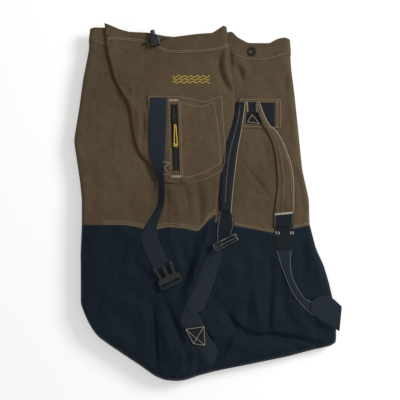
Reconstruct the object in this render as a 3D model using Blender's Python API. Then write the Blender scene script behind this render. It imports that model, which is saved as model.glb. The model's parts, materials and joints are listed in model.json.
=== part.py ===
"""Chest waders, folded flat: bib, hips, legs and booties, with hem, pocket, zip, straps and buckles.

Metres, +Z up.  The waders lie on their folded legs: X runs across the bib, Y up towards its mouth,
and the outer face of the bib looks up.  The origin is under the middle of the folded outline.
Left and right are the sides seen from above, with the mouth of the bib at the top.
"""
import math

import bmesh
import bpy
from mathutils import Matrix, Vector

# --- heights of the layers, from the floor up ---------------------------------------------------
GAP = 0.0003                 # between pieces that touch
CLOTH = 0.004                # thickness of a laminated panel with its seams
LEG_TOP = 0.018              # two flattened layers of a leg
BOOTIE_TOP = 0.0160          # two flattened layers of neoprene
BACK_MID = 0.0205            # middle of the back panel, under the opening
LOW_MID = 0.0400             # middle of the upper layer beside the centre fold
HIGH_MID = 0.0482            # middle of the upper layer on the centre fold
LOW_TOP = LOW_MID + CLOTH / 2
HIGH_TOP = HIGH_MID + CLOTH / 2
SIDE_WALL_LOW = BACK_MID + CLOTH / 2 + 0.0008
EDGE_ROUND = 0.008           # how far the side walls lean in at the top
PLEAT_RAMP = 0.006           # half the width of the step up at the pleat
SIDE_COLUMNS = 4             # columns of the front panel left of its pleat
FRONT_SPANS = 8              # spans from the pleat to the centre ridge
FLOOR_SPANS = 8              # spans of the back panel under the opening
WRAP_SPANS = 5               # spans of the back panel over the right side

# --- outline, as X at each height Y ---------------------------------------------------------------
LEFT_SIDE = [(0.397, -0.259), (0.336, -0.264), (0.270, -0.277), (0.204, -0.286), (0.138, -0.2965),
             (0.050, -0.284), (0.006, -0.279), (-0.052, -0.279), (-0.171, -0.282), (-0.221, -0.281),
             (-0.276, -0.260), (-0.298, -0.244), (-0.318, -0.216), (-0.340, -0.183), (-0.362, -0.150),
             (-0.386, -0.117), (-0.395, -0.095)]
RIGHT_SIDE = [(0.397, 0.180), (0.320, 0.183), (0.248, 0.191), (0.182, 0.198), (0.072, 0.209),
              (0.006, 0.224), (-0.047, 0.225), (-0.116, 0.240), (-0.160, 0.257), (-0.204, 0.268),
              (-0.250, 0.277), (-0.309, 0.284), (-0.318, 0.278), (-0.325, 0.246), (-0.342, 0.180),
              (-0.360, 0.092), (-0.373, 0.026), (-0.384, -0.018), (-0.395, -0.051)]
PLEAT = [(0.397, -0.229), (0.336, -0.222), (0.270, -0.209), (0.204, -0.183), (0.138, -0.161),
         (0.083, -0.134), (0.038, -0.117), (-0.400, -0.117)]
RIDGE = [(0.397, 0.041), (0.314, 0.048), (0.281, 0.051), (0.237, 0.061), (0.160, 0.055),
         (0.083, 0.037), (-0.023, 0.022), (-0.083, 0.000), (-0.215, -0.040), (-0.300, -0.052),
         (-0.397, -0.062)]

# --- the mouth's edge, as Y at each X ---------------------------------------------------------------
SIDE_TOP = [(-0.262, 0.383), (-0.247, 0.385), (-0.2335, 0.3955)]
FRONT_TOP = [(-0.229, 0.397), (-0.216, 0.391), (-0.194, 0.380), (-0.172, 0.375), (-0.128, 0.373),
             (-0.073, 0.364), (-0.018, 0.371), (0.015, 0.374), (0.042, 0.389)]
WRAP_TOP = [(0.030, 0.366), (0.053, 0.374), (0.066, 0.363), (0.088, 0.352), (0.136, 0.352),
            (0.154, 0.361), (0.184, 0.363)]
BACK_TOP = [(-0.262, 0.382), (-0.100, 0.365), (-0.050, 0.357), (0.000, 0.360), (0.060, 0.352),
            (0.100, 0.345), (0.184, 0.357)]
HEM = 0.034                  # width of the drawcord casing
HEM_THICK = 0.0074
HEM_GAP = 0.0010             # between a panel and its casing, which are sewn together
HEM_WALL = 0.0012
SEAM_Y = -0.054              # brown bib above, navy hips below

# --- webbing, zip and hardware ----------------------------------------------------------------------
WEBBING = 0.0016             # thickness of the webbing
POCKET_BASE = HIGH_TOP + GAP
POCKET_BACKING = 0.0005
TAPE_LOW = POCKET_BASE + 0.0017
TAPE_THICK = 0.0005
PANEL_LOW = TAPE_LOW + TAPE_THICK + GAP
PANEL_THICK = 0.0012
PANEL_TOP = PANEL_LOW + PANEL_THICK
ZIP_CENTRE = (-0.0726, 0.142)
ZIP_TILT = math.radians(2.0)
ZIP_LENGTH = 0.146
SLIDER_AT = 0.048            # from the zip's centre, up its length
CORD_RADIUS = 0.0010
LOCK_AT = (-0.1165, 0.3540)
LOCK_TILT = math.radians(14.0)
LOCK_AXIS_Z = 0.0586
LOCK_HOLE_Y = -0.0010        # the cord's hole, from the lock's centre
EYELET_AT = (0.0960, 0.3325)
EYELET_SIDES = 24
BUCKLE_AT = (-0.0790, -0.1790)
BUCKLE_TILT = math.radians(26.0)
BUCKLE_AXIS_Z = 0.0582
ADJUSTER_AT = (0.0363, -0.0836)
ADJUSTER_TILT = math.radians(27.0)

MATERIALS = {
    "brown_canvas": ((0.105, 0.075, 0.047), 0.85, 0.0),
    "navy_nylon": ((0.009, 0.015, 0.024), 0.70, 0.0),
    "slate_webbing": ((0.020, 0.025, 0.038), 0.75, 0.0),
    "neoprene": ((0.030, 0.031, 0.033), 0.80, 0.0),
    "black_plastic": ((0.012, 0.012, 0.013), 0.35, 0.0),
    "dark_metal": ((0.070, 0.070, 0.072), 0.35, 1.0),
    "spring_steel": ((0.520, 0.520, 0.500), 0.30, 1.0),
    "yellow_cord": ((0.800, 0.520, 0.040), 0.60, 0.0),
}


def clear_scene():
    for obj in list(bpy.data.objects):
        bpy.data.objects.remove(obj)


def make_material(piece, finish):
    """Each piece has its own material, in the colour of its finish."""
    colour, roughness, metallic = MATERIALS[finish]
    material = bpy.data.materials.new(piece + "_" + finish)
    material.use_nodes = True
    shader = material.node_tree.nodes["Principled BSDF"]
    shader.inputs["Base Color"].default_value = (*colour, 1.0)
    shader.inputs["Roughness"].default_value = roughness
    shader.inputs["Metallic"].default_value = metallic
    return material


def add_object(name, mesh, finish, parent=None):
    obj = bpy.data.objects.new(name, mesh)
    bpy.context.scene.collection.objects.link(obj)
    obj.parent = parent
    if finish:
        mesh.materials.append(make_material(name, finish))
    return obj


def add_bmesh(name, bm, finish, parent=None):
    bmesh.ops.recalc_face_normals(bm, faces=bm.faces)
    mesh = bpy.data.meshes.new(name)
    bm.to_mesh(mesh)
    bm.free()
    return add_object(name, mesh, finish, parent)


def add_axis(name, place, tilt):
    """An empty that carries a small assembly: its own Y is the assembly's length."""
    empty = bpy.data.objects.new(name, None)
    bpy.context.scene.collection.objects.link(empty)
    empty.location = place
    empty.rotation_euler = (0.0, 0.0, tilt)
    return empty


def look_up(table, key):
    """Straight-line value at key in a table of (key, value) sorted either way."""
    rows = sorted(table)
    if key <= rows[0][0]:
        return rows[0][1]
    for (low, a), (high, b) in zip(rows, rows[1:]):
        if key <= high:
            return a + (b - a) * (key - low) / (high - low)
    return rows[-1][1]


def smooth_path(points, count):
    """Catmull-Rom curve through the points, sampled evenly by number."""
    pts = [Vector(p) for p in points]
    ends = [2 * pts[0] - pts[1]] + pts + [2 * pts[-1] - pts[-2]]
    spans = len(pts) - 1
    out = []
    for i in range(count):
        place = spans * i / (count - 1)
        k = min(int(place), spans - 1)
        t = place - k
        a, b, c, d = ends[k:k + 4]
        out.append(0.5 * (2 * b + (c - a) * t + (2 * a - 5 * b + 4 * c - d) * t ** 2
                          + (3 * b - a - 3 * c + d) * t ** 3))
    return out


def add_bevel(obj, width, segments=2, angle=math.radians(40)):
    bevel = obj.modifiers.new("soft_edge", "BEVEL")
    bevel.width = width
    bevel.segments = segments
    bevel.limit_method = "ANGLE"
    bevel.angle_limit = angle


def prism(name, outline, low, high, finish, parent=None, bevel=0.0):
    """A flat piece: the outline, standing from low to high."""
    bm = bmesh.new()
    base = bm.faces.new([bm.verts.new((x, y, low)) for x, y in outline])
    grown = bmesh.ops.extrude_face_region(bm, geom=[base])
    tops = [v for v in grown["geom"] if isinstance(v, bmesh.types.BMVert)]
    bmesh.ops.translate(bm, verts=tops, vec=(0.0, 0.0, high - low))
    obj = add_bmesh(name, bm, finish, parent)
    if bevel:
        add_bevel(obj, bevel)
    return obj


def box(name, low, high, finish, parent=None, bevel=0.0):
    outline = [(low[0], low[1]), (high[0], low[1]), (high[0], high[1]), (low[0], high[1])]
    return prism(name, outline, low[2], high[2], finish, parent, bevel)


def shell(name, grid, finish):
    """A bent panel: the grid is its middle surface, and Solidify gives it its thickness."""
    bm = bmesh.new()
    rows = [[bm.verts.new(p) for p in row] for row in grid]
    for low, high in zip(rows, rows[1:]):
        for a, b, c, d in zip(low, low[1:], high[1:], high):
            bm.faces.new((a, b, c, d))
    obj = add_bmesh(name, bm, finish)
    thick = obj.modifiers.new("thickness", "SOLIDIFY")
    thick.thickness = CLOTH
    thick.offset = 0.0
    return obj


def ribbon(name, stations, thickness, finish, parent=None):
    """Webbing: each station is (centre, half width vector, up vector)."""
    bm = bmesh.new()
    rings = []
    for centre, half, up in stations:
        middle = Vector(centre)
        side = Vector(half)
        rise = Vector(up).normalized() * (thickness / 2)
        corners = (middle - side - rise, middle + side - rise, middle + side + rise, middle - side + rise)
        rings.append([bm.verts.new(c) for c in corners])
    join_loops(bm, rings)
    bm.faces.new(rings[0])
    bm.faces.new(rings[-1])
    return add_bmesh(name, bm, finish, parent)


def subtract(obj, cutter):
    """Cut the cutter out of obj, as a live EXACT Boolean."""
    cutter.hide_render = True
    cutter.display_type = "WIRE"
    cut = obj.modifiers.new("cut_" + cutter.name, "BOOLEAN")
    cut.operation = "DIFFERENCE"
    cut.solver = "EXACT"
    cut.object = cutter


def join_loops(bm, loops, closed=False):
    """Skin between loops of vertices; closed joins the last loop to the first."""
    following = loops[1:] + loops[:1] if closed else loops[1:]
    for a, b in zip(loops, following):
        for k in range(len(a)):
            n = (k + 1) % len(a)
            bm.faces.new((a[k], a[n], b[n], b[k]))


def cylinder(name, start, end, radius, finish, parent=None, sides=20):
    """A round bar from start to end."""
    a = Vector(start)
    b = Vector(end)
    bm = bmesh.new()
    turn = (b - a).to_track_quat("Z", "Y").to_matrix().to_4x4()
    place = Matrix.Translation((a + b) / 2) @ turn
    bmesh.ops.create_cone(bm, cap_ends=True, segments=sides, radius1=radius, radius2=radius,
                          depth=(b - a).length, matrix=place)
    return add_bmesh(name, bm, finish, parent)


def turned_ring(name, centre, profile, finish, sides):
    """A ring round a vertical axis: the profile's points are (radius, height)."""
    bm = bmesh.new()
    loops = []
    for radius, height in profile:
        loops.append([bm.verts.new((centre[0] + radius * math.cos(2 * math.pi * k / sides),
                                    centre[1] + radius * math.sin(2 * math.pi * k / sides), height))
                      for k in range(sides)])
    join_loops(bm, loops, closed=True)
    return add_bmesh(name, bm, finish)


# --- the body ----------------------------------------------------------------------------------------
def side_height(y):
    """Height of the layer left of the pleat, which fades out above the seam."""
    fade_top = 0.06
    fade_low = -0.02
    k = min(1.0, max(0.0, (y - fade_low) / (fade_top - fade_low)))
    return HIGH_MID - (HIGH_MID - LOW_MID) * k


def front_columns(y, pleated):
    """Middle surface of the front layer at height y, from the left wall to the centre ridge."""
    left = look_up(LEFT_SIDE, y) + CLOTH / 2
    ridge = look_up(RIDGE, y)
    level = side_height(y)
    points = [(left, SIDE_WALL_LOW), (left, level - EDGE_ROUND), (left + EDGE_ROUND, level)]
    if pleated:
        pleat = look_up(PLEAT, y)
        points += [(pleat - PLEAT_RAMP, level), (pleat + PLEAT_RAMP, HIGH_MID)]
        start = pleat + PLEAT_RAMP
    else:
        points += [(left + 0.020, HIGH_MID)]
        start = left + 0.020
    points += [(start + (ridge - start) * k / FRONT_SPANS, HIGH_MID) for k in range(1, FRONT_SPANS + 1)]
    return points


def back_columns(y):
    """Middle surface of the back layer: under the opening, up the right side, and over to the ridge."""
    left = look_up(LEFT_SIDE, y) + CLOTH
    right = look_up(RIGHT_SIDE, y) - CLOTH / 2
    tuck = look_up(RIDGE, y) - 0.020
    floor_end = right - EDGE_ROUND
    points = [(left + (floor_end - left) * k / FLOOR_SPANS, BACK_MID) for k in range(FLOOR_SPANS + 1)]
    points += [(right, BACK_MID + EDGE_ROUND), (right, LOW_MID - EDGE_ROUND), (floor_end, LOW_MID)]
    points += [(floor_end + (tuck - floor_end) * k / WRAP_SPANS, LOW_MID) for k in range(1, WRAP_SPANS + 1)]
    return points


def front_top(column, x):
    """Y of the mouth's edge over a column of the front panel."""
    if column < SIDE_COLUMNS:
        return look_up(SIDE_TOP, x)
    return look_up(FRONT_TOP, x)


def back_top(column, x):
    """Y of the mouth's edge over a column of the back panel."""
    if column <= FLOOR_SPANS:
        return look_up(BACK_TOP, x)
    return look_up(WRAP_TOP, x)


def mouth_row(columns, top_of):
    """Top row of a bib panel: one point under the hem casing in each column."""
    near_top = 0.36
    row = []
    for k, (x, z) in enumerate(columns(near_top)):
        y = top_of(k, x) - HEM - HEM_GAP
        row.append((columns(y)[k][0], y, z))
    return row


def bib_grid(columns, top_of):
    """Rows of a bib panel, from the seam up to the hem casing."""
    rows = 10
    low_y = SEAM_Y + GAP
    mouth = mouth_row(columns, top_of)
    grid = []
    for row in range(rows):
        line = []
        for k, (x, y, z) in enumerate(mouth):
            height = low_y + (y - low_y) * row / rows
            place = columns(height)[k]
            line.append((place[0], height, place[1]))
        grid.append(line)
    return grid + [mouth]


def bib_front_columns(y):
    return front_columns(y, True)


def make_bib():
    shell("bib_front_panel", bib_grid(bib_front_columns, front_top), "brown_canvas")
    shell("bib_back_panel", bib_grid(back_columns, back_top), "brown_canvas")


def make_hips():
    rows = [SEAM_Y - GAP, -0.100, -0.150, -0.200, -0.240, -0.276, -0.300, -0.318, -0.326, -0.342,
            -0.358, -0.372, -0.382]
    front = [[(x, y, z) for x, z in front_columns(y, False)] for y in rows]
    back = [[(x, y, z) for x, z in back_columns(y)] for y in rows]
    shell("hip_front_panel", front, "navy_nylon")
    shell("hip_back_panel", back, "navy_nylon")


def make_legs():
    """Two legs folded back under the hips, and the booties sewn to their ankles."""
    left = [(-0.277, -0.190), (-0.276, -0.221), (-0.256, -0.276), (-0.214, -0.318), (-0.148, -0.362),
            (-0.114, -0.386), (-0.090, -0.3945), (-0.070, -0.3955), (-0.051, -0.3945), (-0.026, -0.386),
            (-0.022, -0.300), (-0.040, -0.060), (-0.064, 0.110), (-0.210, 0.110), (-0.250, -0.040)]
    right = [(0.000, -0.377), (0.026, -0.372), (0.092, -0.358), (0.180, -0.340), (0.246, -0.323),
             (0.272, -0.314), (0.268, -0.250), (0.236, -0.120), (0.205, 0.000), (0.182, 0.110),
             (0.042, 0.110), (0.014, -0.060), (-0.006, -0.300)]
    prism("left_leg", left, 0.0, LEG_TOP, "navy_nylon", bevel=0.005)
    prism("right_leg", right, 0.0, LEG_TOP, "navy_nylon", bevel=0.005)
    ankle = 0.110 + GAP
    sole = [(0.056, 0.000), (0.060, 0.060), (0.062, 0.120), (0.058, 0.180), (0.044, 0.214),
            (0.016, 0.232), (-0.018, 0.230), (-0.042, 0.208), (-0.050, 0.160), (-0.064, 0.110),
            (-0.078, 0.070), (-0.072, 0.030), (-0.056, 0.000)]
    left_foot = [(-0.137 + x, ankle + y) for x, y in sole]
    right_foot = [(0.112 - x, ankle + y) for x, y in sole]
    prism("left_bootie", left_foot, 0.0, BOOTIE_TOP, "neoprene", bevel=0.005)
    prism("right_bootie", right_foot, 0.0, BOOTIE_TOP, "neoprene", bevel=0.005)


# --- hem, drawcord, cord lock and eyelet ---------------------------------------------------------------
def casing(name, stations):
    """A flat fabric tunnel: each station is (x, y of its upper edge, z of its middle)."""
    bm = bmesh.new()
    half = HEM_THICK / 2
    outers = []
    inners = []
    for x, top, z in stations:
        low = top - HEM
        outer = [(x, low, z - half), (x, top, z - half), (x, top, z + half), (x, low, z + half)]
        inner = [(x, low + HEM_WALL, z - half + HEM_WALL), (x, top - HEM_WALL, z - half + HEM_WALL),
                 (x, top - HEM_WALL, z + half - HEM_WALL), (x, low + HEM_WALL, z + half - HEM_WALL)]
        outers.append([bm.verts.new(p) for p in outer])
        inners.append([bm.verts.new(p) for p in inner])
    join_loops(bm, outers)
    join_loops(bm, inners)
    join_loops(bm, [outers[0], inners[0]])
    join_loops(bm, [outers[-1], inners[-1]])
    return add_bmesh(name, bm, "brown_canvas")


def make_hem():
    """Each casing's stations lie on its panel's columns, so the two edges run side by side."""
    inset = 0.12                 # the ends stop short of the side walls, by this share of a span

    def above(row):
        stations = [Vector((x, y + HEM_GAP + HEM, z)) for x, y, z in row]
        first = stations[0].lerp(stations[1], inset)
        last = stations[-1].lerp(stations[-2], inset)
        return [first] + stations[1:-1] + [last]

    front = casing("front_hem_casing", above(mouth_row(bib_front_columns, front_top)[2:]))
    for side, (x, y) in zip(("left", "right"), cord_holes()):
        subtract(front, cylinder("cord_hole_" + side, (x, y, HIGH_MID), (x, y, HIGH_MID + HEM), 0.0055, ""))
    back_row = mouth_row(back_columns, back_top)
    casing("back_hem_casing", above(back_row[:FLOOR_SPANS + 1]))
    casing("side_hem_casing", above(back_row[FLOOR_SPANS + 3:-1]))


def lock_point(across, along, rise=0.0):
    """A point on the cord lock, from its centre, in the waders' frame."""
    c = math.cos(LOCK_TILT)
    s = math.sin(LOCK_TILT)
    return (LOCK_AT[0] + across * c - along * s, LOCK_AT[1] + across * s + along * c,
            LOCK_AXIS_Z + rise)


def cord_holes():
    """Where the cord leaves and enters the front casing, in line with the lock's own hole."""
    reach = 0.0275
    return [lock_point(sign * reach, LOCK_HOLE_Y)[:2] for sign in (-1, 1)]


def cord_route():
    """The drawcord's points: out of the lock, right round the mouth in its casings, and back in."""
    half = HEM / 2
    left_hole, right_hole = cord_holes()
    left_out = [lock_point(-0.0100, LOCK_HOLE_Y), lock_point(-0.0200, LOCK_HOLE_Y),
                (*left_hole, HIGH_MID + 0.0042), (-0.1520, 0.3490, HIGH_MID + 0.0004)]
    front = [(x, y + HEM_GAP + half, z) for x, y, z in mouth_row(bib_front_columns, front_top)]
    wrapped = [(x, y + HEM_GAP + half, z) for x, y, z in mouth_row(back_columns, back_top)]
    leftward = list(reversed([p for p in front[2:] if p[0] < -0.160]))
    leftward += [(-0.2560, 0.3660, LOW_MID - 0.001), (-0.2640, 0.3650, (LOW_MID + BACK_MID) / 2),
                 (-0.2560, 0.3640, BACK_MID + 0.001)]
    along_back = wrapped[1:FLOOR_SPANS]
    right_turn = [(0.1745, 0.3400, BACK_MID + 0.001), (0.1850, 0.3420, (LOW_MID + BACK_MID) / 2),
                  (0.1745, 0.3440, LOW_MID - 0.001)]
    along_wrap = wrapped[FLOOR_SPANS + 4:-1]
    over_ridge = [(0.0500, 0.3600, LOW_MID + 0.0005), (0.0460, 0.3635, (LOW_MID + HIGH_MID) / 2),
                  (0.0425, 0.3655, HIGH_MID - 0.0010), (0.0350, 0.3680, HIGH_MID)]
    homeward = list(reversed([p for p in front[2:] if -0.060 < p[0] < 0.030]))
    right_in = [(-0.0800, 0.3560, HIGH_MID + 0.0004), (*right_hole, HIGH_MID + 0.0042),
                lock_point(0.0200, LOCK_HOLE_Y), lock_point(0.0100, LOCK_HOLE_Y)]
    ends = CORD_RADIUS
    start = lock_point(-ends, LOCK_HOLE_Y)
    finish = lock_point(ends, LOCK_HOLE_Y)
    return ([start] + left_out + leftward + along_back + right_turn + along_wrap + over_ridge
            + homeward + right_in + [finish])


def add_tube(name, points, radius, finish):
    curve = bpy.data.curves.new(name, "CURVE")
    curve.dimensions = "3D"
    spline = curve.splines.new("POLY")
    spline.points.add(len(points) - 1)
    for slot, p in zip(spline.points, points):
        slot.co = (p[0], p[1], p[2], 1.0)
    curve.bevel_depth = radius
    curve.bevel_resolution = 2
    curve.use_fill_caps = True
    return add_object(name, curve, finish)


def make_cord_lock():
    """Sprung toggle: a barrel, its plunger button, and the coil spring between them."""
    axis = add_axis("cord_lock_axis", (LOCK_AT[0], LOCK_AT[1], LOCK_AXIS_Z), LOCK_TILT)
    half_length = 0.0125
    outline = [(-0.0085, -half_length), (0.0085, -half_length), (0.0108, -half_length + 0.003),
               (0.0100, 0.004), (0.0078, half_length), (-0.0078, half_length), (-0.0100, 0.004),
               (-0.0108, -half_length + 0.003)]
    barrel = prism("cord_lock_barrel", outline, -0.0062, 0.0062, "black_plastic", axis, bevel=0.002)
    bore = cylinder("lock_bore", (0, -half_length + 0.0015, 0), (0, half_length + 0.01, 0), 0.0052, "", axis)
    hole = cylinder("lock_cross_hole", (-0.02, LOCK_HOLE_Y, 0), (0.02, LOCK_HOLE_Y, 0), 0.0020, "", axis)
    subtract(barrel, bore)
    subtract(barrel, hole)
    base = -half_length + 0.0015 + 0.0047
    tip = half_length + 0.0110
    button = cylinder("cord_lock_button", (0, base, 0), (0, tip, 0), 0.0049, "black_plastic", axis)
    add_bevel(button, 0.0012)
    seat = cylinder("button_spring_seat", (0, base - 0.001, 0), (0, base + 0.0045, 0), 0.0042, "", axis, 16)
    slot = box("button_cord_slot", (-0.01, LOCK_HOLE_Y - 0.0018, -0.0018),
               (0.01, LOCK_HOLE_Y + 0.0060, 0.0018), "", axis)
    subtract(button, seat)
    subtract(button, slot)
    turns = 3
    steps = turns * 10
    first = -half_length + 0.0015 + GAP + 0.00035
    length = 0.0040
    coil = [lock_point(0.0035 * math.cos(2 * math.pi * turns * k / steps), first + length * k / steps,
                       0.0035 * math.sin(2 * math.pi * turns * k / steps)) for k in range(steps + 1)]
    add_tube("cord_lock_spring", coil, 0.00035, "spring_steel")


def make_eyelet():
    """Two-part eyelet through the outer wall of the side casing."""
    wall_top = LOW_MID + HEM_THICK / 2
    cutter = cylinder("eyelet_hole", (*EYELET_AT, wall_top - 0.0035), (*EYELET_AT, wall_top + 0.004),
                      0.0060, "", sides=EYELET_SIDES)
    subtract(bpy.data.objects["side_hem_casing"], cutter)
    profile = [(0.0048, -0.0019), (0.0056, -0.0019), (0.0056, GAP), (0.0100, GAP), (0.0088, 0.0013),
               (0.0062, 0.0015), (0.0048, 0.0008)]
    turned_ring("hem_eyelet", EYELET_AT, [(r, wall_top + z) for r, z in profile], "dark_metal", EYELET_SIDES)
    under = wall_top - HEM_WALL - GAP
    washer = [(0.0060, under - 0.0005), (0.0088, under - 0.0005), (0.0088, under), (0.0060, under)]
    turned_ring("hem_eyelet_washer", EYELET_AT, washer, "dark_metal", EYELET_SIDES)


# --- chest pocket and its zip ---------------------------------------------------------------------------
def zip_point(across, along):
    c = math.cos(ZIP_TILT)
    s = math.sin(ZIP_TILT)
    return (ZIP_CENTRE[0] + across * c - along * s, ZIP_CENTRE[1] + across * s + along * c)


def make_pocket():
    half = ZIP_LENGTH / 2
    mouth = 0.0075               # from the zip's centre line to each folded edge
    backing = [(-0.128, 0.231), (-0.040, 0.227), (-0.012, 0.220), (0.029, 0.233), (0.033, 0.182),
               (0.036, 0.116), (0.026, 0.069), (0.003, 0.057), (-0.029, 0.046), (-0.062, 0.044),
               (-0.090, 0.048), (-0.124, 0.060)]
    prism("pocket_backing", backing, POCKET_BASE, POCKET_BASE + POCKET_BACKING, "brown_canvas")
    panel = [zip_point(mouth, half + 0.012), (-0.040, 0.230), (-0.011, 0.223), (0.031, 0.237),
             (0.035, 0.182), (0.038, 0.116), (0.029, 0.067), (0.004, 0.054), (-0.029, 0.043),
             zip_point(mouth, -half - 0.024)]
    prism("pocket_panel", panel, PANEL_LOW, PANEL_TOP, "brown_canvas")
    placket = [zip_point(-mouth, half + 0.013), zip_point(-mouth, -half - 0.022), (-0.122, 0.058),
               (-0.132, 0.234)]
    prism("pocket_placket", placket, PANEL_LOW, PANEL_TOP, "brown_canvas")


def make_zip():
    """Coil zip: two tapes with their coils, two stops, the slider, its tab and the cord pull."""
    axis = add_axis("zip_axis", (*ZIP_CENTRE, 0.0), ZIP_TILT)
    half = ZIP_LENGTH / 2
    tape_top = TAPE_LOW + TAPE_THICK
    coil_low = tape_top + GAP
    coil_top = coil_low + 0.0014
    for side, sign in (("left", -1), ("right", 1)):
        near, far, coil_far = 0.0007 * sign, 0.0120 * sign, 0.0027 * sign
        x0, x1 = sorted((near, far))
        box("zipper_tape_" + side, (x0, -half, TAPE_LOW), (x1, half, tape_top), "navy_nylon", axis)
        x0, x1 = sorted((near, coil_far))
        box("zipper_coil_" + side, (x0, -half + 0.006, coil_low), (x1, half - 0.006, coil_top),
            "black_plastic", axis)
    for name, y in (("zipper_top_stop", half - 0.0045), ("zipper_bottom_stop", -half + 0.0020)):
        box(name, (-0.0030, y, coil_low), (0.0030, y + 0.0028, coil_top + 0.0004), "dark_metal", axis)
    plate_low = coil_top + GAP
    plate_top = plate_low + 0.0009
    width, back, nose = 0.0050, -0.0075, 0.0075
    arch = plate_top + 0.0030
    post = 0.0004
    bottom_low = TAPE_LOW - GAP - 0.0007
    bottom_top = TAPE_LOW - GAP
    bite = 0.0002                # each block of the slider runs this far into the next
    parts = [((-width, back, bottom_low), (width, nose, bottom_top)),
             ((-post, 0.0030, bottom_top - bite), (post, nose - 0.0006, plate_low + bite)),
             ((-width, back, plate_low), (width, nose, plate_top)),
             ((-0.0010, -0.0058, plate_top - bite), (0.0010, -0.0048, arch + bite)),
             ((-0.0010, 0.0044, plate_top - bite), (0.0010, 0.0054, arch + bite)),
             ((-0.0012, -0.0060, arch), (0.0012, 0.0056, arch + 0.0010))]
    pieces = []
    for number, (low, high) in enumerate(parts):
        pieces.append(box("slider_piece_%d" % number, low, high, "dark_metal" if number == 0 else "", axis))
    body = pieces[0]
    body.name = "zipper_slider"
    for extra in pieces[1:]:
        extra.hide_render = True
        extra.display_type = "WIRE"
        join = body.modifiers.new("join_" + extra.name, "BOOLEAN")
        join.operation = "UNION"
        join.solver = "EXACT"
        join.object = extra
    for piece in pieces:
        piece.location = (0.0, SLIDER_AT, 0.0)
    hinge_y = SLIDER_AT - 0.0030
    hinge_z = plate_top + 0.0014
    outer = [(-0.0036, 0.0008), (-0.0036, -0.0130), (-0.0026, -0.0150), (0.0026, -0.0150),
             (0.0036, -0.0130), (0.0036, 0.0008)]
    tab = prism("zipper_pull_tab", outer, -0.0007, 0.0007, "black_plastic", axis)
    window = box("tab_window", (-0.0020, -0.0055, -0.002), (0.0020, -0.0008, 0.002), "", axis)
    eye = box("tab_eye", (-0.0018, -0.0135, -0.002), (0.0018, -0.0105, 0.002), "", axis)
    for piece in (tab, window, eye):
        piece.location = (0.0, hinge_y, hinge_z)
    subtract(tab, window)
    subtract(tab, eye)
    bm = bmesh.new()
    sides = 10
    profile = [(-0.0156, 0.0018, 0.0014), (-0.0180, 0.0026, 0.0022), (-0.0540, 0.0026, 0.0022),
               (-0.0560, 0.0038, 0.0026), (-0.0600, 0.0044, 0.0027), (-0.0630, 0.0036, 0.0025),
               (-0.0650, 0.0022, 0.0020), (-0.0690, 0.0020, 0.0018)]
    loops = [[bm.verts.new((wide * math.cos(2 * math.pi * k / sides), y,
                            tall * math.sin(2 * math.pi * k / sides) + 0.0006)) for k in range(sides)]
             for y, wide, tall in profile]
    join_loops(bm, loops)
    bm.faces.new(loops[0])
    bm.faces.new(loops[-1])
    pull = add_bmesh("zipper_pull_cord", bm, "yellow_cord", axis)
    pull.location = (0.0, hinge_y, hinge_z)


# --- front strap and its buckle half -----------------------------------------------------------------------
def make_front_strap():
    """Webbing sewn under the pocket's side; it turns over below the pocket and ends round the buckle bar."""
    high = PANEL_TOP + GAP + WEBBING / 2
    low = HIGH_TOP + GAP + WEBBING / 2
    flat = Vector((0, 0, 1))
    stations = []
    upper = [(-0.1085, 0.228, 0.0175), (-0.1120, 0.180, 0.0178), (-0.1130, 0.130, 0.0178),
             (-0.1090, 0.080, 0.0165)]
    for x, y, half in upper:
        stations.append(((x, y, high), (half, 0.0, 0.0), flat))
    lean = math.radians(45)
    turned = [(-0.1020, 0.038, 0.0110, 0.0635), (-0.1020, 0.010, 0.0110, 0.0610)]
    for x, y, half, z in turned:
        side = Vector((math.cos(lean), 0.0, math.sin(lean))) * half
        stations.append(((x, y, z), side, (-math.sin(lean), 0.0, math.cos(lean))))
    lower = [(-0.1130, -0.018, 0.0150, 4), (-0.1235, -0.052, 0.0215, 12), (-0.1240, -0.080, 0.0230, 24)]
    for x, y, half, turn in lower:
        angle = math.radians(turn)
        side = Vector((math.cos(angle), math.sin(angle), 0.0)) * half
        stations.append(((x, y, low), side, flat))
    along = Vector((-math.sin(BUCKLE_TILT), math.cos(BUCKLE_TILT), 0.0))
    across = Vector((math.cos(BUCKLE_TILT), math.sin(BUCKLE_TILT), 0.0)) * 0.0225
    bar = Vector((BUCKLE_AT[0], BUCKLE_AT[1], BUCKLE_AXIS_Z))
    for back, z in ((0.060, low), (0.020, low), (0.008, low + 0.0008)):
        stations.append((bar + along * back + Vector((0, 0, z - BUCKLE_AXIS_Z)), across, flat))
    wrap = 0.0036
    for turn in (-90, -130, -170, -210, -250, -290, -330):
        angle = math.radians(turn)
        out = along * math.cos(angle) + Vector((0, 0, 1)) * math.sin(angle)
        stations.append((bar + out * wrap, across, -out))
    ribbon("front_strap", stations, WEBBING, "slate_webbing")


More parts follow.
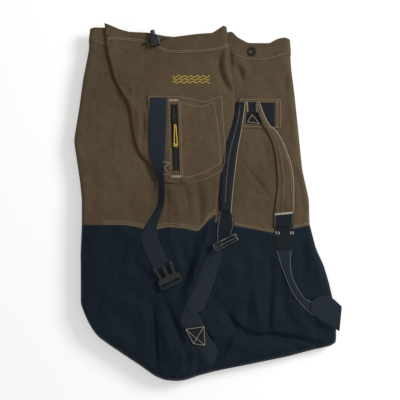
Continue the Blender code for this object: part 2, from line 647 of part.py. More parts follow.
def make_male_buckle():
    """Buckle half on the strap's end: frame with its bar and guide, and two prongs that flex inwards."""
    axis = add_axis("buckle_axis", (BUCKLE_AT[0], BUCKLE_AT[1], BUCKLE_AXIS_Z), BUCKLE_TILT)
    half = 0.0255
    thick = 0.0026
    frame_outline = [(-half, -0.0018), (half, -0.0018), (half, 0.0160), (0.0205, 0.0215), (0.0040, 0.0215),
                     (0.0030, 0.0420), (0.0, 0.0440), (-0.0030, 0.0420), (-0.0040, 0.0215),
                     (-0.0205, 0.0215), (-half, 0.0160)]
    frame = prism("male_buckle_frame", frame_outline, -thick, thick, "black_plastic", axis)
    inner = 0.0232
    slot = box("buckle_slot", (-inner, 0.0016, -0.01), (inner, 0.0075, 0.01), "", axis)
    thin = box("buckle_bar_front", (-inner, -0.010, 0.0015), (inner, 0.0017, 0.01), "", axis)
    under = box("buckle_bar_back", (-inner, -0.010, -0.01), (inner, 0.0017, -0.0015), "", axis)
    for cutter in (slot, thin, under):
        subtract(frame, cutter)
    root_y = 0.0222
    prong = [(0.0135, root_y), (0.0190, root_y), (0.0208, 0.0380), (0.0236, 0.0410), (0.0236, 0.0450),
             (0.0190, 0.0500), (0.0165, 0.0480), (0.0150, 0.0400)]
    for side, sign in (("left", -1), ("right", 1)):
        outline = [(x * sign, y) for x, y in prong]
        arm = prism("male_buckle_prong_" + side, outline, -thick + 0.0004, thick - 0.0004,
                    "black_plastic", axis)
        root = Vector((0.0162 * sign, root_y, 0.0))
        arm.data.transform(Matrix.Translation(-root))
        arm.location = root


# --- shoulder straps on the back panel ------------------------------------------------------------------------
def make_back_patch():
    base = LOW_TOP + GAP
    top = base + 0.0010
    outline = [(0.066, 0.230), (0.163, 0.230), (0.161, 0.162), (0.150, 0.163), (0.125, 0.163), (0.070, 0.170)]
    prism("back_patch", outline, base, top, "brown_canvas")
    over = top + GAP
    box("strap_anchor_tab", (0.0880, 0.1975, over), (0.1060, 0.2230, over + 0.0012), "slate_webbing")
    anchor = [(0.0840, 0.1970), (0.1140, 0.1970), (0.1170, 0.1830), (0.1120, 0.1710), (0.0840, 0.1735)]
    prism("strap_anchor_patch", anchor, over, over + 0.0012, "black_plastic")
    return over


def make_shoulder_pads(base):
    top = base + 0.0062
    left = [(0.0650, 0.2255), (0.0820, 0.2255), (0.0780, 0.1600), (0.0680, 0.0930), (0.0580, 0.0280),
            (0.0540, -0.0230), (0.0300, -0.0230), (0.0320, 0.0280), (0.0425, 0.0930), (0.0575, 0.1600)]
    prism("left_shoulder_pad", left, base, top, "navy_nylon", bevel=0.0018)
    right = [(0.1190, 0.2255), (0.1510, 0.2255), (0.1510, 0.1710), (0.1650, 0.1200), (0.1850, 0.0610),
             (0.1890, 0.0060), (0.1870, -0.0280), (0.1470, -0.0310), (0.1520, 0.0280), (0.1470, 0.0930),
             (0.1320, 0.1600), (0.1230, 0.1860)]
    prism("right_shoulder_pad", right, base, top, "brown_canvas", bevel=0.0018)


def make_left_adjuster(base):
    """Folded loop under the pad, the three-bar adjuster in it, and the webbing through the adjuster."""
    loop = [(0.0310, -0.0236), (0.0535, -0.0236), (0.0620, -0.0560), (0.0540, -0.0690), (0.0220, -0.0860),
            (0.0235, -0.0500)]
    prism("left_pad_loop", loop, base, base + 0.0030, "slate_webbing")
    height = base + 0.0094
    axis = add_axis("adjuster_axis", (ADJUSTER_AT[0], ADJUSTER_AT[1], height), ADJUSTER_TILT)
    frame = prism("left_adjuster", [(-0.0270, -0.0130), (0.0270, -0.0130), (0.0290, 0.0), (0.0270, 0.0050),
                                    (-0.0270, 0.0050), (-0.0290, 0.0)], -0.0018, 0.0022,
                  "black_plastic", axis, bevel=0.0010)
    for low, high in ((-0.0105, -0.0065), (-0.0035, 0.0015)):
        slot = box("adjuster_slot_%d" % round(low * 1e4), (-0.0240, low, -0.01), (0.0240, high, 0.01), "", axis)
        subtract(frame, slot)
    return height


def make_webbing():
    low = HIGH_TOP + GAP
    top = low + WEBBING
    upper = [(0.0030, -0.0960), (0.0280, -0.1130), (-0.0090, -0.2370), (-0.0140, -0.2680),
             (-0.0520, -0.2700), (-0.0550, -0.2450)]
    prism("left_webbing", upper, low, top, "slate_webbing")
    tail = [(-0.0500, -0.2706), (-0.0120, -0.2690), (0.0060, -0.3050), (0.0230, -0.3300),
            (0.0130, -0.3700), (-0.0080, -0.3740), (-0.0160, -0.3300)]
    prism("left_webbing_tail", tail, low, top, "slate_webbing")
    sewn = [(-0.0530, -0.2760), (-0.0130, -0.2700), (-0.0040, -0.3160), (-0.0330, -0.3090)]
    prism("sewn_strap_end", sewn, top + GAP, top + GAP + 2 * WEBBING, "black_plastic")


def make_right_webbing(base):
    loop = [(0.1430, -0.0316), (0.1900, -0.0290), (0.1960, -0.0560), (0.1430, -0.0580)]
    prism("right_pad_loop", loop, base, base + 0.0040, "slate_webbing")
    tab = [(0.1430, -0.0584), (0.1950, -0.0564), (0.1890, -0.1080), (0.1500, -0.1100)]
    low = LOW_TOP + GAP
    prism("right_pad_tab", tab, low, low + 2 * WEBBING, "slate_webbing")
    strap = [(0.1500, -0.1106), (0.1840, -0.1088), (0.1900, -0.1600), (0.1960, -0.1900),
             (0.2130, -0.2150), (0.2258, -0.2216), (0.2300, -0.2498), (0.2060, -0.2270),
             (0.1800, -0.1850), (0.1600, -0.1400)]
    prism("right_webbing", strap, low, low + WEBBING, "slate_webbing")
    fold = [(0.2266, -0.2211), (0.2500, -0.2120), (0.2706, -0.2057), (0.2870, -0.2134), (0.2950, -0.2321),
            (0.2940, -0.2695), (0.2880, -0.2830), (0.2306, -0.2504)]
    prism("right_webbing_fold", fold, low, low + 2 * WEBBING, "slate_webbing")


def main():
    clear_scene()
    make_bib()
    make_hips()
    make_legs()
    make_hem()
    add_tube("drawcord", smooth_path(cord_route(), 80), CORD_RADIUS, "black_plastic")
    make_cord_lock()
    make_eyelet()
    make_pocket()
    make_zip()
    make_front_strap()
    make_male_buckle()
    strap_base = make_back_patch()
    strap_base += 0.0012 + GAP
    make_shoulder_pads(strap_base)
    make_left_adjuster(strap_base)
    make_webbing()
    make_right_webbing(strap_base)


main()
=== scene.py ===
"""Chest waders, folded flat and lying on a pale floor: the finish of every piece.

Metres, in the same frame as the solids: X across the bib, Y up to its mouth, Z up.
"""
import json
import math
import random

import bmesh
import bpy
import numpy as np
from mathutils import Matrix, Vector, noise
from mathutils.bvhtree import BVHTree


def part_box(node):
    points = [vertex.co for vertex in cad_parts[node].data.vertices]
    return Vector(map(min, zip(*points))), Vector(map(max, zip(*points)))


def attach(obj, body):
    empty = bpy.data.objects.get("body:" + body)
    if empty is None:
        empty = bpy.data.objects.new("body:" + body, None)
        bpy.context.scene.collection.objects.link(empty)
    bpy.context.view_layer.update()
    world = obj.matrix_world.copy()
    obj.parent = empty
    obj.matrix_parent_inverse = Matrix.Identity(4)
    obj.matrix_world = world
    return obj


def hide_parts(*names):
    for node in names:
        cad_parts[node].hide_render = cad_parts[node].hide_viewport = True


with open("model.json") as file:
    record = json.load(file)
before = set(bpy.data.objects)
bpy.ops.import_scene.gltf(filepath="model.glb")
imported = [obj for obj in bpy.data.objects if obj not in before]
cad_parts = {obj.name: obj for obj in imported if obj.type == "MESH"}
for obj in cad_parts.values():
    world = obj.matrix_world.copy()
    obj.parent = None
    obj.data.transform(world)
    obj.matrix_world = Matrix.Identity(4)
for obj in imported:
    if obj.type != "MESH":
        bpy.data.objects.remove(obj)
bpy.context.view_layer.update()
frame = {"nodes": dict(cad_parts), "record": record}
random.seed(7)
BODY = "waders"

# --- heights of the cloth's outer faces -----------------------------------------------------------
CLOTH = 0.0016               # laminated canvas
FLOOR_LAYER = 0.0205         # underside of the back layer, under the opening
LOW = 0.0412                 # upper layer beside the centre fold
HIGH = 0.0492                # upper layer on the centre fold
SOLE = 0.0012                # where the bottom roll meets the floor
SEAM = -0.054                # brown bib above, navy hips below
VALLEY_DEPTH = 1.7           # how much deeper than listed the hollow creases lie
RIDGE_HEIGHT = 1.25          # how much higher than listed the raised ones stand
MOUTH = 0.340                # mean height of the hem's stitching

# --- outlines: tables of (Y, X) along the sides, and of (X, Y) across ------------------------------
LEFT_EDGE = [(0.397, -0.2600), (0.336, -0.2640), (0.270, -0.2770), (0.204, -0.2860), (0.150, -0.2950),
             (0.138, -0.2965), (0.126, -0.2955), (0.050, -0.2840), (0.006, -0.2790), (-0.052, -0.2790),
             (-0.171, -0.2820), (-0.221, -0.2815), (-0.360, -0.2815)]
RIGHT_EDGE = [(0.397, 0.1800), (0.320, 0.1830), (0.292, 0.1850), (0.248, 0.1910), (0.182, 0.1980),
              (0.072, 0.2090), (0.006, 0.2240), (-0.047, 0.2250), (-0.116, 0.2400), (-0.160, 0.2570),
              (-0.204, 0.2680), (-0.250, 0.2770), (-0.309, 0.2840), (-0.360, 0.2840)]
PLEAT_LINE = [(0.397, -0.2290), (0.336, -0.2220), (0.276, -0.2070), (0.253, -0.1960), (0.222, -0.1780),
              (0.199, -0.1700), (0.166, -0.1660), (0.121, -0.1570), (0.100, -0.1460), (0.083, -0.1260),
              (0.038, -0.1170), (-0.360, -0.1170)]
RIDGE_LINE = [(0.397, 0.0410), (0.314, 0.0480), (0.281, 0.0510), (0.245, 0.0600), (0.205, 0.0590),
              (0.160, 0.0550), (0.083, 0.0370), (0.028, 0.0240), (-0.023, 0.0200), (-0.083, 0.0000),
              (-0.215, -0.0400), (-0.360, -0.0560)]
BOTTOM_EDGE = [(-0.2830, -0.221), (-0.2740, -0.247), (-0.2600, -0.276), (-0.2440, -0.298), (-0.2160, -0.318),
               (-0.1830, -0.340), (-0.1500, -0.362), (-0.1170, -0.386), (-0.0950, -0.3945), (-0.0700, -0.3965),
               (-0.0510, -0.3945), (-0.0180, -0.384), (0.0260, -0.373), (0.0920, -0.360), (0.1800, -0.342),
               (0.2460, -0.325), (0.2760, -0.318), (0.2860, -0.309)]
FRONT_MOUTH = [(-0.2300, 0.3960), (-0.2160, 0.3910), (-0.1940, 0.3810), (-0.1720, 0.3750), (-0.1280, 0.3730),
               (-0.0950, 0.3660), (-0.0730, 0.3640), (-0.0180, 0.3710), (0.0150, 0.3730), (0.0300, 0.3820),
               (0.0420, 0.3900), (0.0530, 0.3820)]
LEFT_MOUTH = [(-0.2620, 0.3840), (-0.2560, 0.3865), (-0.2300, 0.3860), (-0.2000, 0.3800)]
RIGHT_MOUTH = [(0.0300, 0.3720), (0.0530, 0.3780), (0.0640, 0.3650), (0.0880, 0.3520), (0.1360, 0.3515),
               (0.1500, 0.3600), (0.1640, 0.3640), (0.1840, 0.3640)]
BACK_MOUTH = [(-0.2620, 0.3820), (-0.1000, 0.3660), (-0.0500, 0.3580), (0.0000, 0.3600), (0.0600, 0.3530),
              (0.1000, 0.3460), (0.1840, 0.3580)]
FRONT_HEM = [(-0.2300, 0.3450), (-0.2180, 0.3577), (-0.1890, 0.3566), (-0.1440, 0.3520), (-0.1220, 0.3440),
             (-0.0903, 0.3290), (-0.0600, 0.3275), (-0.0060, 0.3305), (0.0300, 0.3350), (0.0457, 0.3440),
             (0.0590, 0.3460)]
LEFT_HEM = [(-0.2640, 0.3600), (-0.2450, 0.3540), (-0.2295, 0.3476), (-0.2100, 0.3450)]
RIGHT_HEM = [(0.0300, 0.3290), (0.0600, 0.3240), (0.0749, 0.3180), (0.0884, 0.3150), (0.1243, 0.3140),
             (0.1450, 0.3190), (0.1648, 0.3250), (0.1840, 0.3285)]
SEAM_LINE = [(-0.2800, -0.0500), (-0.1830, -0.0500), (-0.1500, -0.0560), (-0.1280, -0.0640), (-0.0900, -0.0545),
             (-0.0500, -0.0580), (-0.0180, -0.0650), (0.0020, -0.0330), (0.0120, -0.0260)]
WRAP_SEAM_LINE = [(0.0200, -0.0440), (0.0590, -0.0520), (0.1030, -0.0600), (0.1470, -0.0680), (0.1960, -0.0560),
                  (0.2300, -0.0500)]


# --- small helpers ----------------------------------------------------------------------------------
def smooth_step(low, high, value):
    share = np.clip((np.asarray(value, dtype=float) - low) / (high - low), 0.0, 1.0)
    return share * share * (3.0 - 2.0 * share)


def soft_table(rows, softness):
    """A function of the first column: straight between the rows, with its corners rounded off."""
    rows = sorted(rows)
    keys = np.array([row[0] for row in rows])
    values = np.array([row[1] for row in rows])
    fine = np.linspace(keys[0] - softness, keys[-1] + softness, 700)
    dense = np.interp(fine, keys, values)
    reach = max(1, int(softness / (fine[1] - fine[0])))
    window = np.hanning(2 * reach + 3)
    padded = np.concatenate([np.full(reach + 1, dense[0]), dense, np.full(reach + 1, dense[-1])])
    soft = np.convolve(padded, window / window.sum(), mode="valid")
    return lambda key: np.interp(key, fine, soft)


left_edge = soft_table(LEFT_EDGE, 0.012)
right_edge = soft_table(RIGHT_EDGE, 0.016)
pleat_line = soft_table(PLEAT_LINE, 0.014)
ridge_line = soft_table(RIDGE_LINE, 0.018)
bottom_edge = soft_table(BOTTOM_EDGE, 0.012)
front_mouth = soft_table(FRONT_MOUTH, 0.007)
left_mouth = soft_table(LEFT_MOUTH, 0.006)
right_mouth = soft_table(RIGHT_MOUTH, 0.009)
back_mouth = soft_table(BACK_MOUTH, 0.02)
front_hem = soft_table(FRONT_HEM, 0.009)
left_hem = soft_table(LEFT_HEM, 0.006)
right_hem = soft_table(RIGHT_HEM, 0.010)
seam_line = soft_table(SEAM_LINE, 0.012)
wrap_seam_line = soft_table(WRAP_SEAM_LINE, 0.014)


def put_away(name, mesh, material, body=BODY):
    """A finished piece: linked, riding on its body, with its finish."""
    piece = bpy.data.objects.new(name, mesh)
    bpy.context.scene.collection.objects.link(piece)
    if material is not None:
        mesh.materials.append(material)
    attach(piece, body)
    return piece


def apply_modifiers(piece):
    bpy.ops.object.select_all(action="DESELECT")
    piece.select_set(True)
    bpy.context.view_layer.objects.active = piece
    for modifier in list(piece.modifiers):
        bpy.ops.object.modifier_apply(modifier=modifier.name)


def grid_mesh(name, points, closed=False):
    """A skin over an array of points (rows, columns, 3); closed joins the last column to the first.
    Its UV map holds real lengths in metres: U along the columns and V along the rows."""
    rows, columns, _ = points.shape
    mesh = bpy.data.meshes.new(name)
    faces = []
    last = columns if closed else columns - 1
    for r in range(rows - 1):
        for c in range(last):
            n = (c + 1) % columns
            faces.append((r * columns + c, r * columns + n, (r + 1) * columns + n, (r + 1) * columns + c))
    mesh.from_pydata(points.reshape(-1, 3).tolist(), [], faces)
    middle_row = points[rows // 2]
    middle_column = points[:, columns // 2]
    u = np.concatenate([[0.0], np.cumsum(np.linalg.norm(np.diff(middle_row, axis=0), axis=1))])
    v = np.concatenate([[0.0], np.cumsum(np.linalg.norm(np.diff(middle_column, axis=0), axis=1))])
    layer = mesh.uv_layers.new(name="UVMap")
    coordinates = []
    for r in range(rows - 1):
        for c in range(last):
            n = c + 1
            far = u[n] if n < columns else 2 * u[c] - u[c - 1]
            coordinates += [u[c], v[r], far, v[r], far, v[r + 1], u[c], v[r + 1]]
    layer.data.foreach_set("uv", coordinates)
    for polygon in mesh.polygons:
        polygon.use_smooth = True
    mesh.update()
    return mesh


# --- folds and creases in the cloth -----------------------------------------------------------------
# Each crease: its points, half width, height at its middle, and the step up to its left side.
CREASES = [
    # chest, between the hem and the pocket
    ([(0.028, 0.332), (0.024, 0.300), (0.030, 0.276), (0.042, 0.253), (0.056, 0.236)], 0.0060, -0.0036, 0.0),
    ([(0.040, 0.345), (0.037, 0.310), (0.041, 0.285), (0.052, 0.262)], 0.0075, 0.0036, 0.0),
    ([(0.046, 0.343), (0.050, 0.318), (0.052, 0.296)], 0.0040, -0.0026, 0.0),
    ([(-0.120, 0.330), (-0.060, 0.318), (0.010, 0.322)], 0.0140, -0.0010, 0.0),
    ([(-0.195, 0.290), (-0.140, 0.262), (-0.060, 0.255)], 0.0180, 0.0014, 0.0),
    ([(-0.175, 0.300), (-0.150, 0.320), (-0.110, 0.318)], 0.0120, -0.0012, 0.0),
    # beside the pleat
    ([(-0.200, 0.262), (-0.184, 0.254), (-0.176, 0.250)], 0.0035, -0.0016, 0.0),
    ([(-0.190, 0.246), (-0.172, 0.226), (-0.163, 0.200)], 0.0050, 0.0022, 0.0),
    ([(-0.170, 0.262), (-0.166, 0.240), (-0.168, 0.222)], 0.0040, 0.0014, 0.0),
    ([(-0.147, 0.218), (-0.143, 0.190), (-0.1425, 0.155), (-0.147, 0.122)], 0.0036, -0.0026, 0.0),
    ([(-0.155, 0.210), (-0.152, 0.170), (-0.153, 0.130)], 0.0060, 0.0018, 0.0),
    ([(-0.139, 0.232), (-0.138, 0.214), (-0.137, 0.200)], 0.0030, -0.0014, 0.0),
    ([(-0.150, 0.105), (-0.126, 0.075), (-0.112, 0.040)], 0.0080, -0.0040, 0.0),
    # side layer, left of the pleat
    ([(-0.262, 0.300), (-0.245, 0.210), (-0.232, 0.120)], 0.0200, 0.0012, 0.0),
    ([(-0.206, 0.105), (-0.190, 0.118), (-0.176, 0.128)], 0.0050, -0.0012, 0.0),
    ([(-0.210, 0.060), (-0.190, 0.090), (-0.172, 0.100)], 0.0080, 0.0012, 0.0),
    ([(-0.180, 0.085), (-0.160, 0.070), (-0.150, 0.058)], 0.0040, -0.0010, 0.0),
    ([(-0.270, 0.120), (-0.255, 0.040), (-0.262, -0.030)], 0.0140, -0.0014, 0.0),
    ([(-0.245, 0.040), (-0.225, -0.010), (-0.205, -0.040)], 0.0140, 0.0016, 0.0),
    ([(-0.175, 0.020), (-0.170, -0.020), (-0.165, -0.050)], 0.0100, -0.0014, 0.0),
    # below the pocket
    ([(-0.024, 0.045), (-0.019, 0.000), (-0.018, -0.055)], 0.0075, -0.0030, 0.0),
    ([(-0.006, 0.050), (0.000, 0.010), (-0.004, -0.030)], 0.0080, 0.0022, 0.0),
    ([(-0.055, 0.036), (-0.046, 0.010), (-0.040, -0.020)], 0.0060, -0.0015, 0.0),
    ([(-0.074, 0.020), (-0.066, -0.015), (-0.062, -0.050)], 0.0090, 0.0016, 0.0),
    ([(-0.093, 0.035), (-0.090, 0.000), (-0.090, -0.050)], 0.0060, -0.0016, 0.0),
    # wrapped layer on the right
    ([(0.060, 0.265), (0.088, 0.274), (0.120, 0.289), (0.165, 0.305), (0.180, 0.312)], 0.0040, 0.0020, -0.0012),
    ([(0.062, 0.300), (0.072, 0.285), (0.076, 0.265)], 0.0050, -0.0036, 0.0),
    ([(0.064, 0.322), (0.080, 0.300), (0.088, 0.280)], 0.0080, 0.0022, 0.0),
    ([(0.184, 0.300), (0.172, 0.276), (0.168, 0.240)], 0.0060, -0.0020, 0.0),
    ([(0.180, 0.230), (0.186, 0.180), (0.196, 0.120)], 0.0070, 0.0018, 0.0),
    ([(0.0730, 0.094), (0.0968, 0.063), (0.1420, 0.006)], 0.0032, -0.0014, 0.0010),
    ([(0.090, 0.028), (0.115, 0.018), (0.140, 0.010)], 0.0050, -0.0010, 0.0),
    ([(0.108, 0.160), (0.128, 0.110), (0.134, 0.060)], 0.0080, -0.0016, 0.0),
    ([(0.200, 0.060), (0.206, 0.010), (0.212, -0.040)], 0.0070, -0.0018, 0.0),
    ([(0.194, 0.020), (0.198, -0.010), (0.206, -0.044)], 0.0040, 0.0014, 0.0),
    # navy hips, left part
    ([(-0.122, -0.225), (-0.119, -0.270), (-0.117, -0.320), (-0.113, -0.365)], 0.0070, -0.0038, 0.0),
    ([(-0.140, -0.235), (-0.137, -0.290), (-0.133, -0.345)], 0.0110, 0.0024, 0.0),
    ([(-0.094, -0.219), (-0.077, -0.261), (-0.062, -0.300), (-0.050, -0.330)], 0.0075, -0.0042, 0.0),
    ([(-0.098, -0.265), (-0.088, -0.310), (-0.082, -0.350)], 0.0100, 0.0026, 0.0),
    ([(-0.046, -0.320), (-0.044, -0.345), (-0.050, -0.370)], 0.0050, -0.0030, 0.0),
    ([(-0.038, -0.322), (-0.034, -0.345), (-0.036, -0.362)], 0.0040, 0.0024, 0.0),
    ([(-0.026, -0.330), (-0.022, -0.352), (-0.028, -0.376)], 0.0045, -0.0026, 0.0),
    ([(-0.180, -0.208), (-0.160, -0.200), (-0.136, -0.184)], 0.0060, -0.0014, 0.0),
    ([(-0.240, -0.200), (-0.244, -0.225), (-0.240, -0.250)], 0.0070, -0.0012, 0.0),
    ([(-0.262, -0.080), (-0.250, -0.140), (-0.256, -0.200)], 0.0160, 0.0014, 0.0),
    ([(-0.200, -0.080), (-0.190, -0.130), (-0.200, -0.180)], 0.0180, -0.0014, 0.0),
    ([(-0.230, -0.270), (-0.190, -0.300), (-0.150, -0.330)], 0.0160, 0.0020, 0.0),
    ([(-0.150, -0.090), (-0.160, -0.130), (-0.140, -0.170)], 0.0090, -0.0016, 0.0),
    ([(-0.085, -0.075), (-0.072, -0.105), (-0.066, -0.135)], 0.0070, 0.0016, 0.0),
    ([(-0.056, -0.090), (-0.052, -0.120), (-0.046, -0.150)], 0.0080, -0.0020, 0.0),
    ([(-0.030, -0.070), (-0.036, -0.110), (-0.052, -0.170), (-0.072, -0.215)], 0.0090, -0.0036, 0.0),
    ([(0.006, -0.040), (-0.006, -0.085), (-0.026, -0.150), (-0.050, -0.215)], 0.0090, 0.0036, 0.0),
    # navy hips, right part
    ([(0.0500, -0.2500), (0.0628, -0.2695), (0.0908, -0.2864), (0.1188, -0.2920), (0.1357, -0.2895),
      (0.1750, -0.2950), (0.2310, -0.3060), (0.2800, -0.3180)], 0.0030, -0.0024, 0.0075),
    ([(0.0400, -0.240), (0.0540, -0.262), (0.0600, -0.282)], 0.0070, -0.0046, 0.0),
    ([(0.1400, -0.120), (0.1386, -0.191), (0.1329, -0.255), (0.1300, -0.282)], 0.0065, -0.0036, 0.0),
    ([(0.1060, -0.180), (0.1100, -0.230), (0.1180, -0.280)], 0.0100, 0.0038, 0.0),
    ([(0.0900, -0.200), (0.0860, -0.240), (0.0900, -0.278)], 0.0070, -0.0028, 0.0),
    ([(0.1480, -0.200), (0.1470, -0.240), (0.1440, -0.280)], 0.0050, 0.0026, 0.0),
    ([(0.1600, -0.130), (0.1640, -0.180), (0.1720, -0.240), (0.1980, -0.285)], 0.0110, -0.0030, 0.0),
    ([(0.2060, -0.080), (0.2120, -0.130), (0.2060, -0.180)], 0.0100, -0.0026, 0.0),
    ([(0.2260, -0.090), (0.2400, -0.150), (0.2560, -0.205)], 0.0110, 0.0028, 0.0),
    ([(0.2000, -0.200), (0.2180, -0.204), (0.2400, -0.196)], 0.0080, 0.0022, 0.0),
    ([(0.0500, -0.090), (0.0560, -0.140), (0.0480, -0.200)], 0.0120, 0.0018, 0.0),
    ([(0.0740, -0.110), (0.0800, -0.150), (0.0760, -0.190)], 0.0100, -0.0014, 0.0),
    ([(0.1100, -0.075), (0.1180, -0.110), (0.1300, -0.125)], 0.0080, -0.0012, 0.0),
    ([(0.0120, -0.352), (0.0290, -0.331), (0.0460, -0.303), (0.0560, -0.280)], 0.0080, -0.0046, 0.0),
    ([(0.0100, -0.285), (0.0240, -0.300), (0.0330, -0.296), (0.0460, -0.276)], 0.0035, 0.0030, 0.0),
    ([(0.0600, -0.310), (0.1200, -0.318), (0.2000, -0.322)], 0.0100, 0.0016, 0.0),
    ([(0.1500, -0.302), (0.1900, -0.318), (0.2300, -0.322)], 0.0030, -0.0010, 0.0),
    ([(0.2100, -0.250), (0.2400, -0.275), (0.2700, -0.292)], 0.0100, -0.0026, 0.0),
]


def path_distance(x, y, path):
    """Distance to a path, the side (positive on its left) and the share of its length, at each point."""
    points = np.array(path, dtype=float)
    lengths = np.linalg.norm(np.diff(points, axis=0), axis=1)
    starts = np.concatenate([[0.0], np.cumsum(lengths)])
    best = np.full(x.shape, 1e9)
    side = np.zeros(x.shape)
    along = np.zeros(x.shape)
    for k, length in enumerate(lengths):
        ax, ay = points[k]
        dx, dy = (points[k + 1] - points[k]) / length
        run = np.clip((x - ax) * dx + (y - ay) * dy, 0.0, length)
        off_x = x - ax - dx * run
        off_y = y - ay - dy * run
        away = np.hypot(off_x, off_y)
        nearer = away < best
        best = np.where(nearer, away, best)
        side = np.where(nearer, np.sign(dx * off_y - dy * off_x), side)
        along = np.where(nearer, (starts[k] + run) / starts[-1], along)
    return best, side, along


def fold_height(x, y):
    """How far the creases of the cloth move a point up or down."""
    height = np.zeros(x.shape)
    for path, width, rise, step in CREASES:
        rise *= VALLEY_DEPTH if rise < 0 else RIDGE_HEIGHT
        away, side, along = path_distance(x, y, smooth_line(path, 24))
        taper = np.sin(np.pi * np.clip(along, 0.02, 0.98)) ** 0.6
        height += rise * taper * np.exp(-(away / width) ** 2)
        if step:
            reach = np.exp(-(away / (9.0 * width)) ** 2)
            height += step * taper * reach * (0.5 * np.tanh(side * away / (0.5 * width)) - 0.5)
    return height


def slack(x, y, size=0.075, depth=0.0016):
    """Broad, gentle unevenness of cloth that lies loose."""
    flat = []
    for px, py in zip(x.ravel(), y.ravel()):
        broad = noise.noise(Vector((px / size, py / (1.5 * size), 0.3)))
        fine = noise.noise(Vector((px / 0.022, py / 0.034, 4.1)))
        flat.append(depth * broad + 0.22 * depth * fine)
    return np.array(flat).reshape(x.shape)


def smooth_line(points, count):
    """Catmull-Rom curve through the points, as an array."""
    pts = np.array(points, dtype=float)
    ends = np.vstack([2 * pts[0] - pts[1], pts, 2 * pts[-1] - pts[-2]])
    spans = len(pts) - 1
    out = []
    for i in range(count):
        place = spans * i / (count - 1)
        k = min(int(place), spans - 1)
        t = place - k
        a, b, c, d = ends[k:k + 4]
        out.append(0.5 * (2 * b + (c - a) * t + (2 * a - 5 * b + 4 * c - d) * t ** 2
                          + (3 * b - a - 3 * c + d) * t ** 3))
    return np.array(out)


# --- sections of the folded tube ----------------------------------------------------------------------
def bow(centre_x, centre_z, reach, rise, start, end, count):
    """Points on an ellipse in the X-Z plane, from one angle to the other, in degrees."""
    angles = np.radians(np.linspace(start, end, count))
    return np.stack([centre_x + reach * np.cos(angles), centre_z + rise * np.sin(angles)], axis=1)


def run_across(start, end, count):
    """Evenly spaced points between two, without the first and the last."""
    share = np.linspace(0.0, 1.0, count + 2)[1:-1, None]
    return np.array(start) * (1 - share) + np.array(end) * share


def ramp_across(start, end, count):
    """Points that climb or drop smoothly from one place to the other."""
    share = np.linspace(0.0, 1.0, count)
    lift = smooth_step(0.0, 1.0, share)
    return np.stack([start[0] + (end[0] - start[0]) * share, start[1] + (end[1] - start[1]) * lift], axis=1)


def front_section(y):
    """The front layer at height y: round the left fold, under the pleat, over to the centre ridge."""
    left, pleat, ridge = float(left_edge(y)), float(pleat_line(y)), float(ridge_line(y))
    pleated = float(smooth_step(0.005, 0.085, y))
    rolled = float(smooth_step(-0.300, -0.200, y))
    side = HIGH - 0.001 - (HIGH - 0.001 - LOW) * float(smooth_step(-0.03, 0.07, y))
    tuck, inner, outer = 0.016, 0.0014, 0.0034
    under = side + 2 * inner
    edge = 0.0115
    parts = [bow(left + edge, (FLOOR_LAYER + side) / 2, edge, (side - FLOOR_LAYER) / 2, -90, -270, 13)]
    folded = np.vstack([bow(pleat + tuck, side + inner, inner, inner, -90, 90, 5),
                        run_across((pleat + tuck, under), (pleat + outer, under), 3),
                        bow(pleat + outer, (under + HIGH) / 2, outer, (HIGH - under) / 2, -90, -270, 8)])
    open_ramp = ramp_across((pleat - 0.014, side), (pleat + 0.016, HIGH), len(folded))
    pleat_part = open_ramp * (1 - pleated) + folded * pleated
    parts.append(run_across((left + edge, side), pleat_part[0], 24))
    parts.append(pleat_part)
    roll_x, roll_z = 0.0080, 0.0033
    closed = np.vstack([bow(ridge - roll_x, HIGH - roll_z, roll_x, roll_z, 90, -90, 9),
                        run_across((ridge - roll_x, HIGH - 2 * roll_z), (ridge - 0.032, HIGH - 2 * roll_z), 3),
                        [(ridge - 0.032, HIGH - 2 * roll_z)]])
    spread = ramp_across((ridge - roll_x, HIGH), (ridge + 0.060, LOW), len(closed))
    ridge_part = spread * (1 - rolled) + closed * rolled
    parts.append(run_across(pleat_part[-1], ridge_part[0], 78))
    parts.append(ridge_part)
    return np.vstack(parts)


def back_section(y):
    """The back layer at height y: from under the ridge, round the right fold, and back under the opening."""
    left, right, ridge = float(left_edge(y)), float(right_edge(y)), float(ridge_line(y))
    rolled = float(smooth_step(-0.300, -0.200, y))
    start = np.array((ridge + 0.060, LOW)) * (1 - rolled) + np.array((ridge - 0.032, HIGH - 0.0066)) * rolled
    bend = np.array((ridge + 0.062, LOW)) * (1 - rolled) + np.array((ridge - 0.034, LOW)) * rolled
    edge = 0.0105
    turn = bow(right - edge, (LOW + FLOOR_LAYER) / 2, edge, (LOW - FLOOR_LAYER) / 2, 90, -90, 13)
    end = (left + 0.0115, FLOOR_LAYER)
    return np.vstack([[start], [bend], run_across(bend, turn[0], 56), turn,
                      run_across(turn[-1], end, 46), [end]])


SECTION_HEIGHTS = np.linspace(-0.37, 0.40, 190)


def section_table(section):
    return np.array([section(y) for y in SECTION_HEIGHTS])


def place_columns(table, heights):
    """Points where each column of a section table is at its own Y: heights is (rows, columns)."""
    x = np.empty(heights.shape)
    z = np.empty(heights.shape)
    for column in range(heights.shape[1]):
        x[:, column] = np.interp(heights[:, column], SECTION_HEIGHTS, table[:, column, 0])
        z[:, column] = np.interp(heights[:, column], SECTION_HEIGHTS, table[:, column, 1])
    return x, z


front_table = section_table(front_section)
back_table = section_table(back_section)
LEFT_COLUMNS = 13 + 24 + 6          # of the front: left fold, side layer, and the hidden fold of the pleat
WRAP_COLUMNS = 2 + 56 + 7           # of the back: the wrapped layer, down to the middle of its right fold


